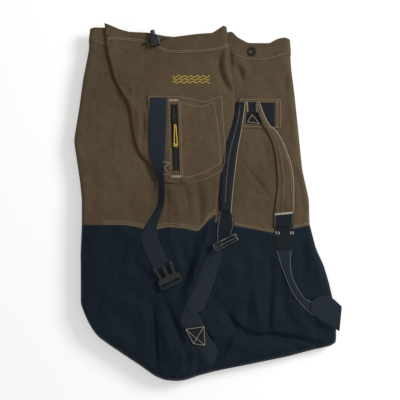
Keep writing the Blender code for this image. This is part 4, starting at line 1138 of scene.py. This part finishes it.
def patch_mesh(name, plan, surface, rise, skirt=0.0006):
    """A patch sewn flat: plan is (rows, columns, 2), rise a function of (x, y); its edges turn down."""
    rows, columns, _ = plan.shape
    points = np.zeros((rows + 2, columns + 2, 3))
    for r in range(rows + 2):
        for c in range(columns + 2):
            rr, cc = min(max(r - 1, 0), rows - 1), min(max(c - 1, 0), columns - 1)
            x, y = plan[rr, cc]
            border = r in (0, rows + 1) or c in (0, columns + 1)
            ring = rr in (0, rows - 1) or cc in (0, columns - 1)
            z = surface.height(x, y, HIGH)
            if border:
                outward = plan[rr, cc] - plan[min(max(rr, 1), rows - 2), min(max(cc, 1), columns - 2)]
                length = max(1e-9, float(np.hypot(*outward)))
                x, y = plan[rr, cc] + outward / length * skirt
                z -= 0.0006
            elif ring:
                z += rise(x, y) * 0.80
            else:
                z += rise(x, y)
            points[r, c] = (x, y, z)
    return grid_mesh(name, points)


ZIP_TILT = math.radians(2.0)


def zip_frame():
    """Centre of the zip, and its two ends, from its tapes."""
    low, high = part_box("zipper_tape_left")
    far_low, far_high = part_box("zipper_tape_right")
    centre = ((low[0] + far_high[0]) / 2, (low[1] + far_high[1]) / 2)
    half = (high[1] - low[1]) / 2
    return centre, half


ZIP_CENTRE, ZIP_HALF = zip_frame()


def zip_place(across, along):
    c, s = math.cos(ZIP_TILT), math.sin(ZIP_TILT)
    return (ZIP_CENTRE[0] + across * c - along * s, ZIP_CENTRE[1] + across * s + along * c)


POCKET_TOP = [(-0.0675, 0.2325), (-0.040, 0.2300), (-0.011, 0.2230), (0.010, 0.2280), (0.0315, 0.2370)]
POCKET_BOTTOM = [(-0.0585, 0.0405), (-0.029, 0.0430), (0.004, 0.0530), (0.020, 0.0620), (0.0315, 0.0670)]
POCKET_RIGHT = [(0.0315, 0.0670), (0.0385, 0.0900), (0.0395, 0.1160), (0.0365, 0.1500), (0.0340, 0.1900),
                (0.0315, 0.2370)]
PLACKET_LEFT = [(-0.1200, 0.0500), (-0.1245, 0.1000), (-0.1290, 0.1700), (-0.1325, 0.2350)]


def make_pocket(surface):
    panel_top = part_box("pocket_panel")[1][2]
    flat_top = panel_top - HIGH

    def rise(x, y):
        near = 1.0 - float(smooth_step(0.008, 0.040, abs(x - ZIP_CENTRE[0])))
        return 0.0019 + (flat_top - 0.0019) * near

    mouth = 0.0072
    left = [zip_place(mouth, -ZIP_HALF - 0.026), zip_place(mouth, 0.0), zip_place(mouth, ZIP_HALF + 0.0165)]
    plan = coons([left[0]] + POCKET_BOTTOM[1:], [left[-1]] + POCKET_TOP[1:], left, POCKET_RIGHT, 44, 76)
    panel = put_away("pocket_front_cloth", patch_mesh("pocket_front_cloth", plan, surface, rise), BROWN)
    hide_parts("pocket_panel", "pocket_backing")
    right = [zip_place(-mouth, -ZIP_HALF - 0.026), zip_place(-mouth, 0.0), zip_place(-mouth, ZIP_HALF + 0.0165)]
    bottom = [PLACKET_LEFT[0], (-0.0950, 0.0450), right[0]]
    top = [PLACKET_LEFT[-1], (-0.1000, 0.2345), right[-1]]
    plan = coons(bottom, top, PLACKET_LEFT, right, 26, 76)
    placket = put_away("pocket_side_cloth", patch_mesh("pocket_side_cloth", plan, surface, rise), BROWN)
    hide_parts("pocket_placket")
    ends = []
    for name, low, high in (("pocket_mouth_top", ZIP_HALF - 0.001, ZIP_HALF + 0.0165),
                            ("pocket_mouth_bottom", -ZIP_HALF - 0.026, -ZIP_HALF + 0.001)):
        half = 0.0085
        near = [zip_place(-half, low), zip_place(-half, high)]
        far = [zip_place(half, low), zip_place(half, high)]
        plan = coons([near[0], zip_place(0, low), far[0]], [near[1], zip_place(0, high), far[1]],
                     near, far, 7, 8)
        bridge = put_away(name, patch_mesh(name, plan, surface, lambda x, y: flat_top - 0.0006), BROWN)
        ends.append(bridge)
    return [panel, placket] + ends


# --- straps ---------------------------------------------------------------------------------------------
FRONT_STRAP_LEFT = [(-0.1260, 0.2300, 0.0006), (-0.1292, 0.1800, 0.0008), (-0.1303, 0.1350, 0.0010),
                    (-0.1272, 0.1050, 0.0012), (-0.1202, 0.0780, 0.0016), (-0.1128, 0.0560, 0.0024),
                    (-0.1088, 0.0350, 0.0026), (-0.1080, 0.0150, 0.0022), (-0.1122, -0.0080, 0.0016),
                    (-0.1262, -0.0330, 0.0010), (-0.1410, -0.0560, 0.0008), (-0.1482, -0.0770, 0.0006),
                    (-0.1412, -0.1040, 0.0006), (-0.1246, -0.1350, 0.0006), (-0.1085, -0.1660, 0.0010),
                    (-0.1010, -0.1830, 0.0016)]
FRONT_STRAP_RIGHT = [(-0.0905, 0.2290, 0.0006), (-0.0920, 0.1800, 0.0008), (-0.0932, 0.1350, 0.0016),
                     (-0.0948, 0.1080, 0.0036), (-0.0962, 0.0820, 0.0074), (-0.0968, 0.0600, 0.0118),
                     (-0.0955, 0.0380, 0.0140), (-0.0948, 0.0150, 0.0135), (-0.0975, -0.0070, 0.0108),
                     (-0.1040, -0.0270, 0.0070), (-0.1110, -0.0480, 0.0030), (-0.1130, -0.0700, 0.0010),
                     (-0.1022, -0.0985, 0.0006), (-0.0882, -0.1265, 0.0006), (-0.0712, -0.1540, 0.0010),
                     (-0.0600, -0.1690, 0.0016)]
BUCKLE_TILT = math.radians(26.0)


def joint_place(name):
    """A hinge's point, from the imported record."""
    for joint in frame["record"]["behaviour"]["joints"]:
        if joint["name"] == name:
            return Vector(joint["pos_m"])
    raise ValueError(name)


BUCKLE = joint_place("buckle_flip")


def make_front_strap(surface):
    left, right = drape_edges(surface, FRONT_STRAP_LEFT, FRONT_STRAP_RIGHT)
    along = Vector((-math.sin(BUCKLE_TILT), math.cos(BUCKLE_TILT), 0.0))
    across = Vector((math.cos(BUCKLE_TILT), math.sin(BUCKLE_TILT), 0.0))
    wraps = []
    for sign in (-1, 1):
        turns = []
        for degrees in range(-75, -331, -15):
            a = math.radians(degrees)
            turns.append(BUCKLE + across * (0.0222 * sign) + along * (0.0029 * math.cos(a))
                         + Vector((0, 0, 0.0029 * math.sin(a))))
        wraps.append(np.array([tuple(p) for p in turns]))
    lead_left = np.linspace(left[-1], wraps[0][0], 5)[1:-1]
    lead_right = np.linspace(right[-1], wraps[1][0], 5)[1:-1]
    left = np.vstack([left, lead_left, wraps[0]])
    right = np.vstack([right, lead_right, wraps[1]])
    points = strap_points(left, right)
    piece = make_strap("front_webbing", points, SLATE, nodes=("front_strap",))
    return piece


LEFT_PAD_LEFT = [(0.0620, 0.2215), (0.0545, 0.1797), (0.0425, 0.1439), (0.0315, 0.1078), (0.0260, 0.0675),
                 (0.0235, 0.0227), (0.0262, -0.0235)]
LEFT_PAD_RIGHT = [(0.0827, 0.2215), (0.0772, 0.1797), (0.0715, 0.1439), (0.0650, 0.1078), (0.0603, 0.0675),
                  (0.0552, 0.0227), (0.0512, -0.0230)]
RIGHT_PAD_LEFT = [(0.1040, 0.2225), (0.1100, 0.1980), (0.1190, 0.1740), (0.1350, 0.1480), (0.1470, 0.1124),
                  (0.1515, 0.0674), (0.1525, 0.0338), (0.1470, -0.0112), (0.1448, -0.0300)]
RIGHT_PAD_RIGHT = [(0.1125, 0.2215), (0.1225, 0.1954), (0.1345, 0.1720), (0.1515, 0.1560), (0.1650, 0.1340),
                   (0.1765, 0.1070), (0.1850, 0.0780), (0.1895, 0.0440), (0.1900, -0.0235)]


def make_pad(name, left, right, surface, material, node, ribs, depth, thick=0.0062, sunk=0.0):
    """A crowned pad between two edges, with channels sewn along it."""
    rows, columns = 96, 30
    near, far = smooth_line(left, rows), smooth_line(right, rows)
    points = np.zeros((rows, 2 * columns, 3))
    base = []
    for r in range(rows):
        middle = (near[r] + far[r]) / 2
        base.append(max(surface.height(*middle), 0.5 * (surface.height(*near[r]) + surface.height(*far[r]))))
    base = smooth_run(np.array(base), 4) + 0.0004 - sunk
    for r in range(rows):
        away = min(r, rows - 1 - r)
        end = min(1.0, 0.25 + 0.75 * math.sin(math.pi / 2 * min(1.0, away / 3.0)))
        for c in range(columns):
            share = c / (columns - 1)
            x, y = near[r] * (1 - share) + far[r] * share
            edge = math.sin(math.pi * share) ** 0.36 if 0 < share < 1 else 0.0
            channel = depth * (0.5 + 0.5 * math.cos(2 * math.pi * ribs * share)) * edge
            cross = 0.25 * depth * math.cos(2 * math.pi * r / 5.0) * edge
            top = base[r] + thick * (0.30 + 0.70 * edge) * end - channel - cross
            points[r, c] = (x, y, top)
            points[r, 2 * columns - 1 - c] = (x, y, base[r] + 0.0002 * edge)
    piece = put_away(name, grid_mesh(name, points[:, ::-1], closed=True), material)
    close_ends(piece)
    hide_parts(node)
    return piece, points[:, :columns]


def pad_line(top, share):
    """A line of (x, y) along a pad, at a share of its width."""
    column = int(share * (top.shape[1] - 1))
    return [(float(x), float(y)) for x, y in top[3:-3:6, column, :2]]


def edge_cord(name, line, radius, material, body=BODY):
    """Piping: a round cord sewn into an edge, along a line of (x, y, z) points."""
    rings = []
    pts = [Vector(p) for p in line]
    for k, p in enumerate(pts):
        ahead = (pts[min(k + 1, len(pts) - 1)] - pts[max(k - 1, 0)]).normalized()
        side = ahead.cross(Vector((0, 0, 1))).normalized()
        up = side.cross(ahead)
        rings.append([tuple(p + (side * math.cos(a) + up * math.sin(a)) * radius)
                      for a in (2 * math.pi * n / 8 for n in range(8))])
    piece = put_away(name, grid_mesh(name, np.array(rings), closed=True), material, body)
    close_ends(piece)
    return piece


def strap_between(name, surface, left, right, material, nodes=(), stiff=3, thickness=0.0016, body=BODY):
    near, far = drape_edges(surface, left, right, stiff=stiff)
    points = strap_points(near, far)
    return make_strap(name, points, material, thickness, body, nodes), points


# --- the remaining straps, patch and hardware ----------------------------------------------------------
LEFT_WEBBING_LEFT = [(0.0180, -0.0860, 0.0006), (0.0020, -0.1130, 0.0006), (-0.0160, -0.1450, 0.0006),
                     (-0.0330, -0.1880, 0.0006), (-0.0490, -0.2280, 0.0008), (-0.0600, -0.2480, 0.0016)]
LEFT_WEBBING_RIGHT = [(0.0490, -0.0720, 0.0006), (0.0340, -0.0980, 0.0006), (0.0265, -0.1290, 0.0006),
                      (0.0150, -0.1700, 0.0006), (0.0030, -0.2060, 0.0008), (-0.0120, -0.2390, 0.0032)]
LEFT_END_LEFT = [(-0.0620, -0.2450, 0.0004), (-0.0600, -0.2620, 0.0004), (-0.0500, -0.2800, 0.0004),
                 (-0.0360, -0.3020, 0.0004), (-0.0170, -0.3270, 0.0004), (-0.0030, -0.3480, 0.0004),
                 (0.0060, -0.3700, 0.0004)]
LEFT_END_RIGHT = [(-0.0240, -0.2390, 0.0020), (-0.0160, -0.2540, 0.0010), (-0.0080, -0.2720, 0.0004),
                  (0.0020, -0.2940, 0.0004), (0.0200, -0.3240, 0.0004), (0.0160, -0.3480, 0.0004),
                  (0.0100, -0.3710, 0.0004)]
PAD_LOOP_LEFT = [(0.0262, -0.0190, 0.0004), (0.0230, -0.0350, 0.0010), (0.0190, -0.0600, 0.0014),
                 (0.0190, -0.0880, 0.0010)]
PAD_LOOP_RIGHT = [(0.0512, -0.0190, 0.0004), (0.0560, -0.0350, 0.0006), (0.0570, -0.0520, 0.0008),
                  (0.0510, -0.0700, 0.0010)]
RIGHT_LOOP_LEFT = [(0.1448, -0.0270, 0.0012), (0.1445, -0.0400, 0.0024), (0.1442, -0.0545, 0.0020)]
RIGHT_LOOP_RIGHT = [(0.1900, -0.0240, 0.0012), (0.1885, -0.0400, 0.0024), (0.1880, -0.0530, 0.0020)]
RIGHT_TAB_LEFT = [(0.1455, -0.0480, 0.0004), (0.1470, -0.0750, 0.0004), (0.1500, -0.1100, 0.0004)]
RIGHT_TAB_RIGHT = [(0.1880, -0.0480, 0.0004), (0.1875, -0.0750, 0.0004), (0.1850, -0.1080, 0.0004)]
RIGHT_WEBBING_LEFT = [(0.1500, -0.1070, 0.0008), (0.1600, -0.1370, 0.0006), (0.1690, -0.1600, 0.0006),
                      (0.1830, -0.1930, 0.0006), (0.2060, -0.2260, 0.0006), (0.2330, -0.2510, 0.0006)]
RIGHT_WEBBING_RIGHT = [(0.1850, -0.1050, 0.0008), (0.1825, -0.1350, 0.0010), (0.1870, -0.1650, 0.0014),
                       (0.1985, -0.1890, 0.0018), (0.2130, -0.2100, 0.0018), (0.2310, -0.2190, 0.0016)]
FOLD_LEFT = [(0.2240, -0.2400, 0.0016), (0.2440, -0.2570, 0.0012), (0.2650, -0.2700, 0.0008),
             (0.2900, -0.2840, 0.0006)]
FOLD_RIGHT = [(0.2283, -0.2180, 0.0030), (0.2480, -0.2060, 0.0034), (0.2700, -0.2080, 0.0026),
              (0.2950, -0.2290, 0.0010)]
SEWN_END = [(-0.0520, -0.2760), (-0.0070, -0.2700), (-0.0045, -0.3170), (-0.0330, -0.3120)]


def sewn_patch(name, surface, corners, material, thick, nodes, columns=12, rows=12):
    """A four-cornered piece sewn down flat: corners top left, top right, bottom right, bottom left."""
    a, b, c, d = corners
    plan = coons([d, ((d[0] + c[0]) / 2, (d[1] + c[1]) / 2), c], [a, ((a[0] + b[0]) / 2, (a[1] + b[1]) / 2), b],
                 [d, ((d[0] + a[0]) / 2, (d[1] + a[1]) / 2), a], [c, ((c[0] + b[0]) / 2, (c[1] + b[1]) / 2), b],
                 columns, rows)
    piece = put_away(name, patch_mesh(name, plan, surface, lambda x, y: thick), material)
    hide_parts(*nodes)
    return piece


def edge_row(thread, surface, points, share, pitch=0.0040, radius=0.00045):
    """Stitches along a strap, at a share of its width."""
    line = points[:, 0, :2] * (1 - share) + points[:, -1, :2] * share
    thread.row(surface, [tuple(p) for p in line[::max(1, len(line) // 24)]], pitch, radius)


def zigzag(thread, surface, points, radius=0.00055):
    """Heavy box stitching along a path of corners."""
    for a, b in zip(points, points[1:]):
        thread.row(surface, [a, b], 0.0030, radius, fill=0.92, curve=False)


def line_of(function, low, high, count=40, inset=0.0):
    return [(float(x), float(function(x)) + inset) for x in np.linspace(low, high, count)]


def make_stitching(surface, plain, straps, pads):
    tan, cream, yellow = Thread(), Thread(), Thread()
    for inset in (0.0016, 0.0050):
        tan.row(surface, line_of(front_hem, -0.222, 0.044, inset=inset))
    tan.row(surface, line_of(right_hem, 0.062, 0.176, inset=0.0016))
    tan.row(surface, line_of(left_hem, -0.250, -0.224, 8, inset=0.0016))
    for inset in (0.0022, 0.0052, 0.0096):
        tan.row(plain, line_of(seam_line, -0.232, 0.018, 70, inset=inset), radius=0.00042)
    for inset in (0.0022, 0.0060):
        tan.row(plain, line_of(wrap_seam_line, 0.060, 0.224, 50, inset=inset), radius=0.00042)
    for line in POCKET_STITCHING:
        tan.row(surface, line, radius=0.00052)
    for x in (-0.0646, -0.0608):
        tan.row(surface, [(x, 0.2215), (x + 0.0024, 0.140), (x + 0.0048, 0.0560)])
    tan.row(surface, [(-0.0860, 0.2215), (-0.0842, 0.140), (-0.0820, 0.0560)])
    for x, y in ((-0.0860, 0.2240), (-0.0800, 0.0570)):
        tan.bartack(surface, (x, y), (x + 0.0210, y), width=0.0058, radius=0.00055)
    for x in (0.0861, 0.1063):
        tan.bartack(surface, (x, 0.2215), (x + 0.001, 0.1995), width=0.0042, radius=0.00050)
    for y in (0.2265, 0.2215):
        tan.row(surface, [(0.0700, y), (0.1050, y + 0.0006), (0.1590, y - 0.0006)])
    for x in (0.1530, 0.1595):
        tan.row(surface, [(x, 0.2265), (x, 0.1650)])
    tan.row(surface, [(0.0770, 0.1672), (0.1560, 0.1655)])
    cream.bartack(surface, (0.1470, -0.0262), (0.1860, -0.0225), width=0.0050, radius=0.00060)
    for x in (0.1500, 0.1560, 0.1820, 0.1870):
        cream.bartack(surface, (x, -0.0640), (x + 0.001, -0.0700), width=0.0030)
    zigzag(cream, surface, [(-0.0990, 0.0891), (-0.0836, 0.0869), (-0.0968, 0.0759), (-0.0858, 0.0649)])
    zigzag(cream, surface, [(-0.0968, 0.0627), (-0.0847, 0.0605)])
    zigzag(cream, surface, [(0.0973, 0.1934), (0.0870, 0.1776), (0.1130, 0.1740), (0.0973, 0.1934)])
    for line in pads:
        tan.row(surface, line, 0.0046, 0.00042)
    a, b, c, d = SEWN_END
    ring = [(x * 0.88 - 0.0030, -0.2936 + (y + 0.2936) * 0.88) for x, y in (a, b, c, d, a)]
    zigzag(cream, surface, ring)
    zigzag(cream, surface, [ring[0], ring[2], ring[1], ring[3]])
    for points, inset in straps:
        for share in inset:
            edge_row(cream, surface, points, share, 0.0042, 0.00032)
    for row in range(3):
        waves = [(-0.078 + 0.0021 * k, 0.2640 + 0.0062 * row + 0.0021 * math.sin(0.95 * k + row))
                 for k in range(40)]
        yellow.row(surface, waves, 0.0021, 0.00075, fill=1.05)
    tan.finish("tan_stitching", TAN_THREAD)
    cream.finish("cream_stitching", CREAM_THREAD)
    yellow.finish("embroidered_waves", YELLOW_THREAD)


POCKET_STITCHING = [
    # round the outside: along the top, down the right, and along the bottom
    [(-0.1305, 0.2325), (-0.1000, 0.2330), (-0.0730, 0.2318), (-0.0400, 0.2280), (-0.0110, 0.2212),
     (0.0100, 0.2262), (0.0295, 0.2345)],
    [(0.0295, 0.2345), (0.0322, 0.1900), (0.0348, 0.1500), (0.0372, 0.1160), (0.0360, 0.0900),
     (0.0298, 0.0685)],
    [(0.0298, 0.0685), (0.0180, 0.0635), (0.0040, 0.0550), (-0.0290, 0.0450), (-0.0560, 0.0425),
     (-0.0900, 0.0468)],
    [(-0.1305, 0.2325), (-0.1300, 0.2290), (-0.1298, 0.2240)],
    # round the bag of the pocket
    [(-0.0555, 0.2190), (-0.0180, 0.2100), (0.0130, 0.2205)],
    [(0.0130, 0.2205), (0.0220, 0.1600), (0.0260, 0.1160), (0.0275, 0.0860)],
    [(0.0275, 0.0860), (-0.0070, 0.0670), (-0.0400, 0.0565), (-0.0560, 0.0560)]]


LOCK_AT = (-0.1165, 0.3540, 0.0586)
LOCK_TILT = math.radians(14.0)
LOCK_HOLE = -0.0010                # how far along the lock its cord crosses


def lock_place(across, rise=0.0):
    c, s = math.cos(LOCK_TILT), math.sin(LOCK_TILT)
    return (LOCK_AT[0] + across * c - LOCK_HOLE * s, LOCK_AT[1] + across * s + LOCK_HOLE * c, LOCK_AT[2] + rise)


def make_drawcord():
    """The cord in the hem comes out on one side of its lock, runs through it, and goes back in."""
    path = [(-0.1520, 0.3490, 0.0478), lock_place(-0.0285, -0.0086), lock_place(-0.0200), lock_place(-0.0100),
            lock_place(0.0), lock_place(0.0100), lock_place(0.0200), lock_place(0.0285, -0.0086),
            (-0.0800, 0.3560, 0.0478)]
    piece = edge_cord("drawcord_run", smooth_line(path, 90), 0.0010, BLACK_CORD)
    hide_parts("drawcord")
    return piece


def make_pull_cord():
    """A loop of yellow cord on the zip's pull, wrapped once round itself."""
    low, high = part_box("zipper_pull_cord")
    x, z = (low[0] + high[0]) / 2, (low[2] + high[2]) / 2
    top, bottom = high[1] - 0.0005, low[1] + 0.0120
    side, radius = 0.0013, 0.0011
    down = [(x - side - 0.0006 * k / 14, top - (top - bottom) * k / 14, z) for k in range(15)]
    wrap = [(x - 0.0034 * math.cos(0.5 * k), bottom - 0.0012 - 0.00032 * k, z + 0.0012 * math.sin(0.5 * k))
            for k in range(14)]
    turn = [(x + 0.0030, bottom - 0.0080, z), (x + 0.0050, bottom - 0.0040, z),
            (x + 0.0046, bottom + 0.0020, z)]
    up = [(x + 0.0046 - 0.0033 * k / 12, bottom + 0.0035 + (top - bottom - 0.0035) * k / 12, z)
          for k in range(1, 13)]
    path = smooth_line(down + wrap + turn + up, 150)
    piece = edge_cord("yellow_pull_cord", path, radius, YELLOW_CORD, "zipper_pull")
    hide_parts("zipper_pull_cord")
    return piece


def refinish(material, slot_name, *names):
    """Hard parts keep their shape and take a better material."""
    for name in names:
        node = frame["nodes"][name]
        for place in node.material_slots:
            place.material = material


WORN_STEEL = moulded_finish("worn_steel", (0.065, 0.065, 0.067), (0.24, 0.24, 0.235), roughness=0.26,
                            metallic=0.9)
BLACK_CORD = moulded_finish("cord_jacket", (0.014, 0.014, 0.016), (0.030, 0.030, 0.033), 0.6)
YELLOW_CORD = moulded_finish("yellow_cord_jacket", (0.78, 0.53, 0.04), (0.86, 0.64, 0.10), 0.5)


# --- floor, light and camera ---------------------------------------------------------------------------
KEY_POWER = 46.0
OVERHEAD_POWER = 8.0
AIR_LIGHT = 0.26
FLOOR_GLOW = 0.40             # the lit table under the cloth


def make_floor():
    bpy.ops.object.select_all(action="DESELECT")
    bpy.ops.mesh.primitive_plane_add(size=9.0, location=(0.0, 0.0, -0.0004))
    floor = bpy.context.object
    floor.name = "pale_floor"
    material, shader, nodes = start_finish("pale_paper", 0.9, Specular_IOR_Level=0.1, Emission_Strength=FLOOR_GLOW)
    place = nodes.add("ShaderNodeTexCoord").outputs["Object"]
    grain = nodes.noise(place, 60.0, 3.0)
    nodes.join(nodes.blend(grain, (0.93, 0.93, 0.93), (0.96, 0.96, 0.96)), shader.inputs["Base Color"])
    floor.data.materials.append(material)


def make_light(name, place, size, power, aim=(0.0, 0.0, 0.0)):
    lamp = bpy.data.lights.new(name, "AREA")
    lamp.shape = "SQUARE"
    lamp.size = size
    lamp.energy = power
    light = bpy.data.objects.new(name, lamp)
    bpy.context.scene.collection.objects.link(light)
    light.location = place
    light.rotation_mode = "QUATERNION"
    light.rotation_quaternion = (Vector(aim) - Vector(place)).to_track_quat("-Z", "Y")


def make_studio():
    make_floor()
    make_light("key_softbox", (1.9, 1.1, 1.9), 1.0, KEY_POWER)
    make_light("overhead_softbox", (0.3, 0.2, 2.8), 2.2, OVERHEAD_POWER)
    world = bpy.data.worlds.new("studio_air")
    world.use_nodes = True
    background = world.node_tree.nodes["Background"]
    background.inputs["Color"].default_value = (1.0, 1.0, 1.0, 1.0)
    background.inputs["Strength"].default_value = AIR_LIGHT
    bpy.context.scene.world = world
    bpy.context.scene.view_settings.view_transform = "Standard"


def make_camera():
    lens = bpy.data.cameras.new("camera")
    lens.sensor_width = 36.0
    view_width = 0.88
    distance = 2.0
    lens.lens = lens.sensor_width * distance / view_width
    camera = bpy.data.objects.new("camera", lens)
    bpy.context.scene.collection.objects.link(camera)
    camera.location = (-0.0176, 0.0055, distance + 0.045)
    bpy.context.scene.camera = camera


make_camera()
make_studio()
body = make_body()
make_leg("left_leg_cloth", LEFT_LEG, "left_leg")
make_leg("right_leg_cloth", RIGHT_LEG, "right_leg")
make_bootie("left_bootie_foot", "left_bootie", -0.137, False)
make_bootie("right_bootie_foot", "right_bootie", 0.112, True)

surface = Surface(body.values())
plain = surface
front_band = make_band("front_hem_band", front_band_stations(), ["front_hem_casing"], True)
rear_band = make_band("rear_hem_band", rear_band_stations(), ["side_hem_casing", "back_hem_casing"], True)
cloth = list(body.values()) + [front_band, rear_band]
surface = Surface(cloth)
pocket = make_pocket(surface)
cloth += pocket
surface = Surface(cloth)
cloth.append(sewn_patch("anchor_base", surface, [(0.066, 0.230), (0.163, 0.230), (0.163, 0.162), (0.066, 0.1635)],
                        BROWN, 0.0012, ["back_patch"], 28, 20))
surface = Surface(cloth)
cloth.append(sewn_patch("anchor_triangle", surface, [(0.0860, 0.1970), (0.1150, 0.1960), (0.1165, 0.1730),
                                                     (0.0845, 0.1745)], BLACK_STRAP, 0.0014,
                        ["strap_anchor_patch"]))
cloth.append(sewn_patch("anchor_strip", surface, [(0.0882, 0.2228), (0.1055, 0.2228), (0.1055, 0.1972),
                                                  (0.0882, 0.1972)], STRAP_NAVY, 0.0014, ["strap_anchor_tab"]))
corner = put_away("anchor_corner", patch_mesh("anchor_corner", coons(
    [(0.1290, 0.1665), (0.1380, 0.1660), (0.1470, 0.1655)], [(0.1120, 0.2200), (0.1300, 0.2200), (0.1470, 0.2200)],
    [(0.1290, 0.1665), (0.1200, 0.1930), (0.1120, 0.2200)], [(0.1470, 0.1655), (0.1470, 0.1930), (0.1470, 0.2200)],
    12, 16), surface, lambda x, y: 0.0009), STRAP_NAVY)
cloth.append(corner)
surface = Surface(cloth)
left_pad, left_top = make_pad("left_shoulder_cushion", LEFT_PAD_LEFT, LEFT_PAD_RIGHT, surface, STRAP_NAVY,
                              "left_shoulder_pad", 2, 0.0007)
right_pad, right_top = make_pad("right_shoulder_cushion", RIGHT_PAD_LEFT, RIGHT_PAD_RIGHT, surface, BROWN,
                                "right_shoulder_pad", 4, 0.0009)
for name, top, column in (("left_pad_piping", left_top, -2), ("right_pad_piping", right_top, -2)):
    line = top[:, column].copy()
    line[:, 2] += 0.0002
    edge_cord(name, line, 0.0009, TAN_THREAD)
cloth += [left_pad, right_pad]
surface = Surface(cloth)
loop, loop_points = strap_between("left_pad_strap", surface, PAD_LOOP_LEFT, PAD_LOOP_RIGHT, STRAP_NAVY,
                                  ["left_pad_loop"])
tab, tab_points = strap_between("right_pad_under_strap", surface, RIGHT_TAB_LEFT, RIGHT_TAB_RIGHT, STRAP_NAVY,
                                ["right_pad_tab"])
cloth += [loop, tab]
surface = Surface(cloth)
right_loop, right_loop_points = strap_between("right_pad_strap", surface, RIGHT_LOOP_LEFT, RIGHT_LOOP_RIGHT,
                                              STRAP_NAVY, ["right_pad_loop"])
left_strap, left_points = strap_between("left_webbing_run", surface, LEFT_WEBBING_LEFT, LEFT_WEBBING_RIGHT,
                                        SLATE, ["left_webbing"])
left_end, left_end_points = strap_between("left_webbing_end", surface, LEFT_END_LEFT, LEFT_END_RIGHT, SLATE,
                                          ["left_webbing_tail"])
right_strap, right_points = strap_between("right_webbing_run", surface, RIGHT_WEBBING_LEFT, RIGHT_WEBBING_RIGHT,
                                          SLATE, ["right_webbing"])
cloth += [right_loop, left_strap, left_end, right_strap]
surface = Surface(cloth)
fold, fold_points = strap_between("right_webbing_flap", surface, FOLD_LEFT, FOLD_RIGHT, SLATE,
                                  ["right_webbing_fold"])
sewn = sewn_patch("sewn_end_cover", surface, SEWN_END, BLACK_STRAP, 0.0018, ["sewn_strap_end"])
front_webbing = make_front_strap(surface)
cloth += [fold, sewn, front_webbing]
surface = Surface(cloth)
make_stitching(surface, plain, [(right_points, (0.06, 0.94)), (loop_points, (0.07, 0.93)),
                         (right_loop_points, (0.07, 0.93))],
               [pad_line(right_top, 0.12), pad_line(right_top, 0.50), pad_line(right_top, 0.88),
                pad_line(left_top, 0.50)])
make_drawcord()
make_pull_cord()
refinish(PLASTIC, "black_plastic", "male_buckle_frame", "male_buckle_prong_left", "male_buckle_prong_right",
         "cord_lock_barrel", "cord_lock_button")
refinish(GUNMETAL, "dark_metal", "hem_eyelet", "hem_eyelet_washer", "zipper_slider",
         "zipper_pull_tab", "zipper_top_stop", "zipper_bottom_stop")
refinish(WORN_STEEL, "dark_metal", "left_adjuster")
refinish(GUNMETAL, "spring_steel", "cord_lock_spring")
refinish(BLACK_STRAP, "zip_tape", "zipper_tape_left", "zipper_tape_right")
refinish(PLASTIC, "zip_coil", "zipper_coil_left", "zipper_coil_right")
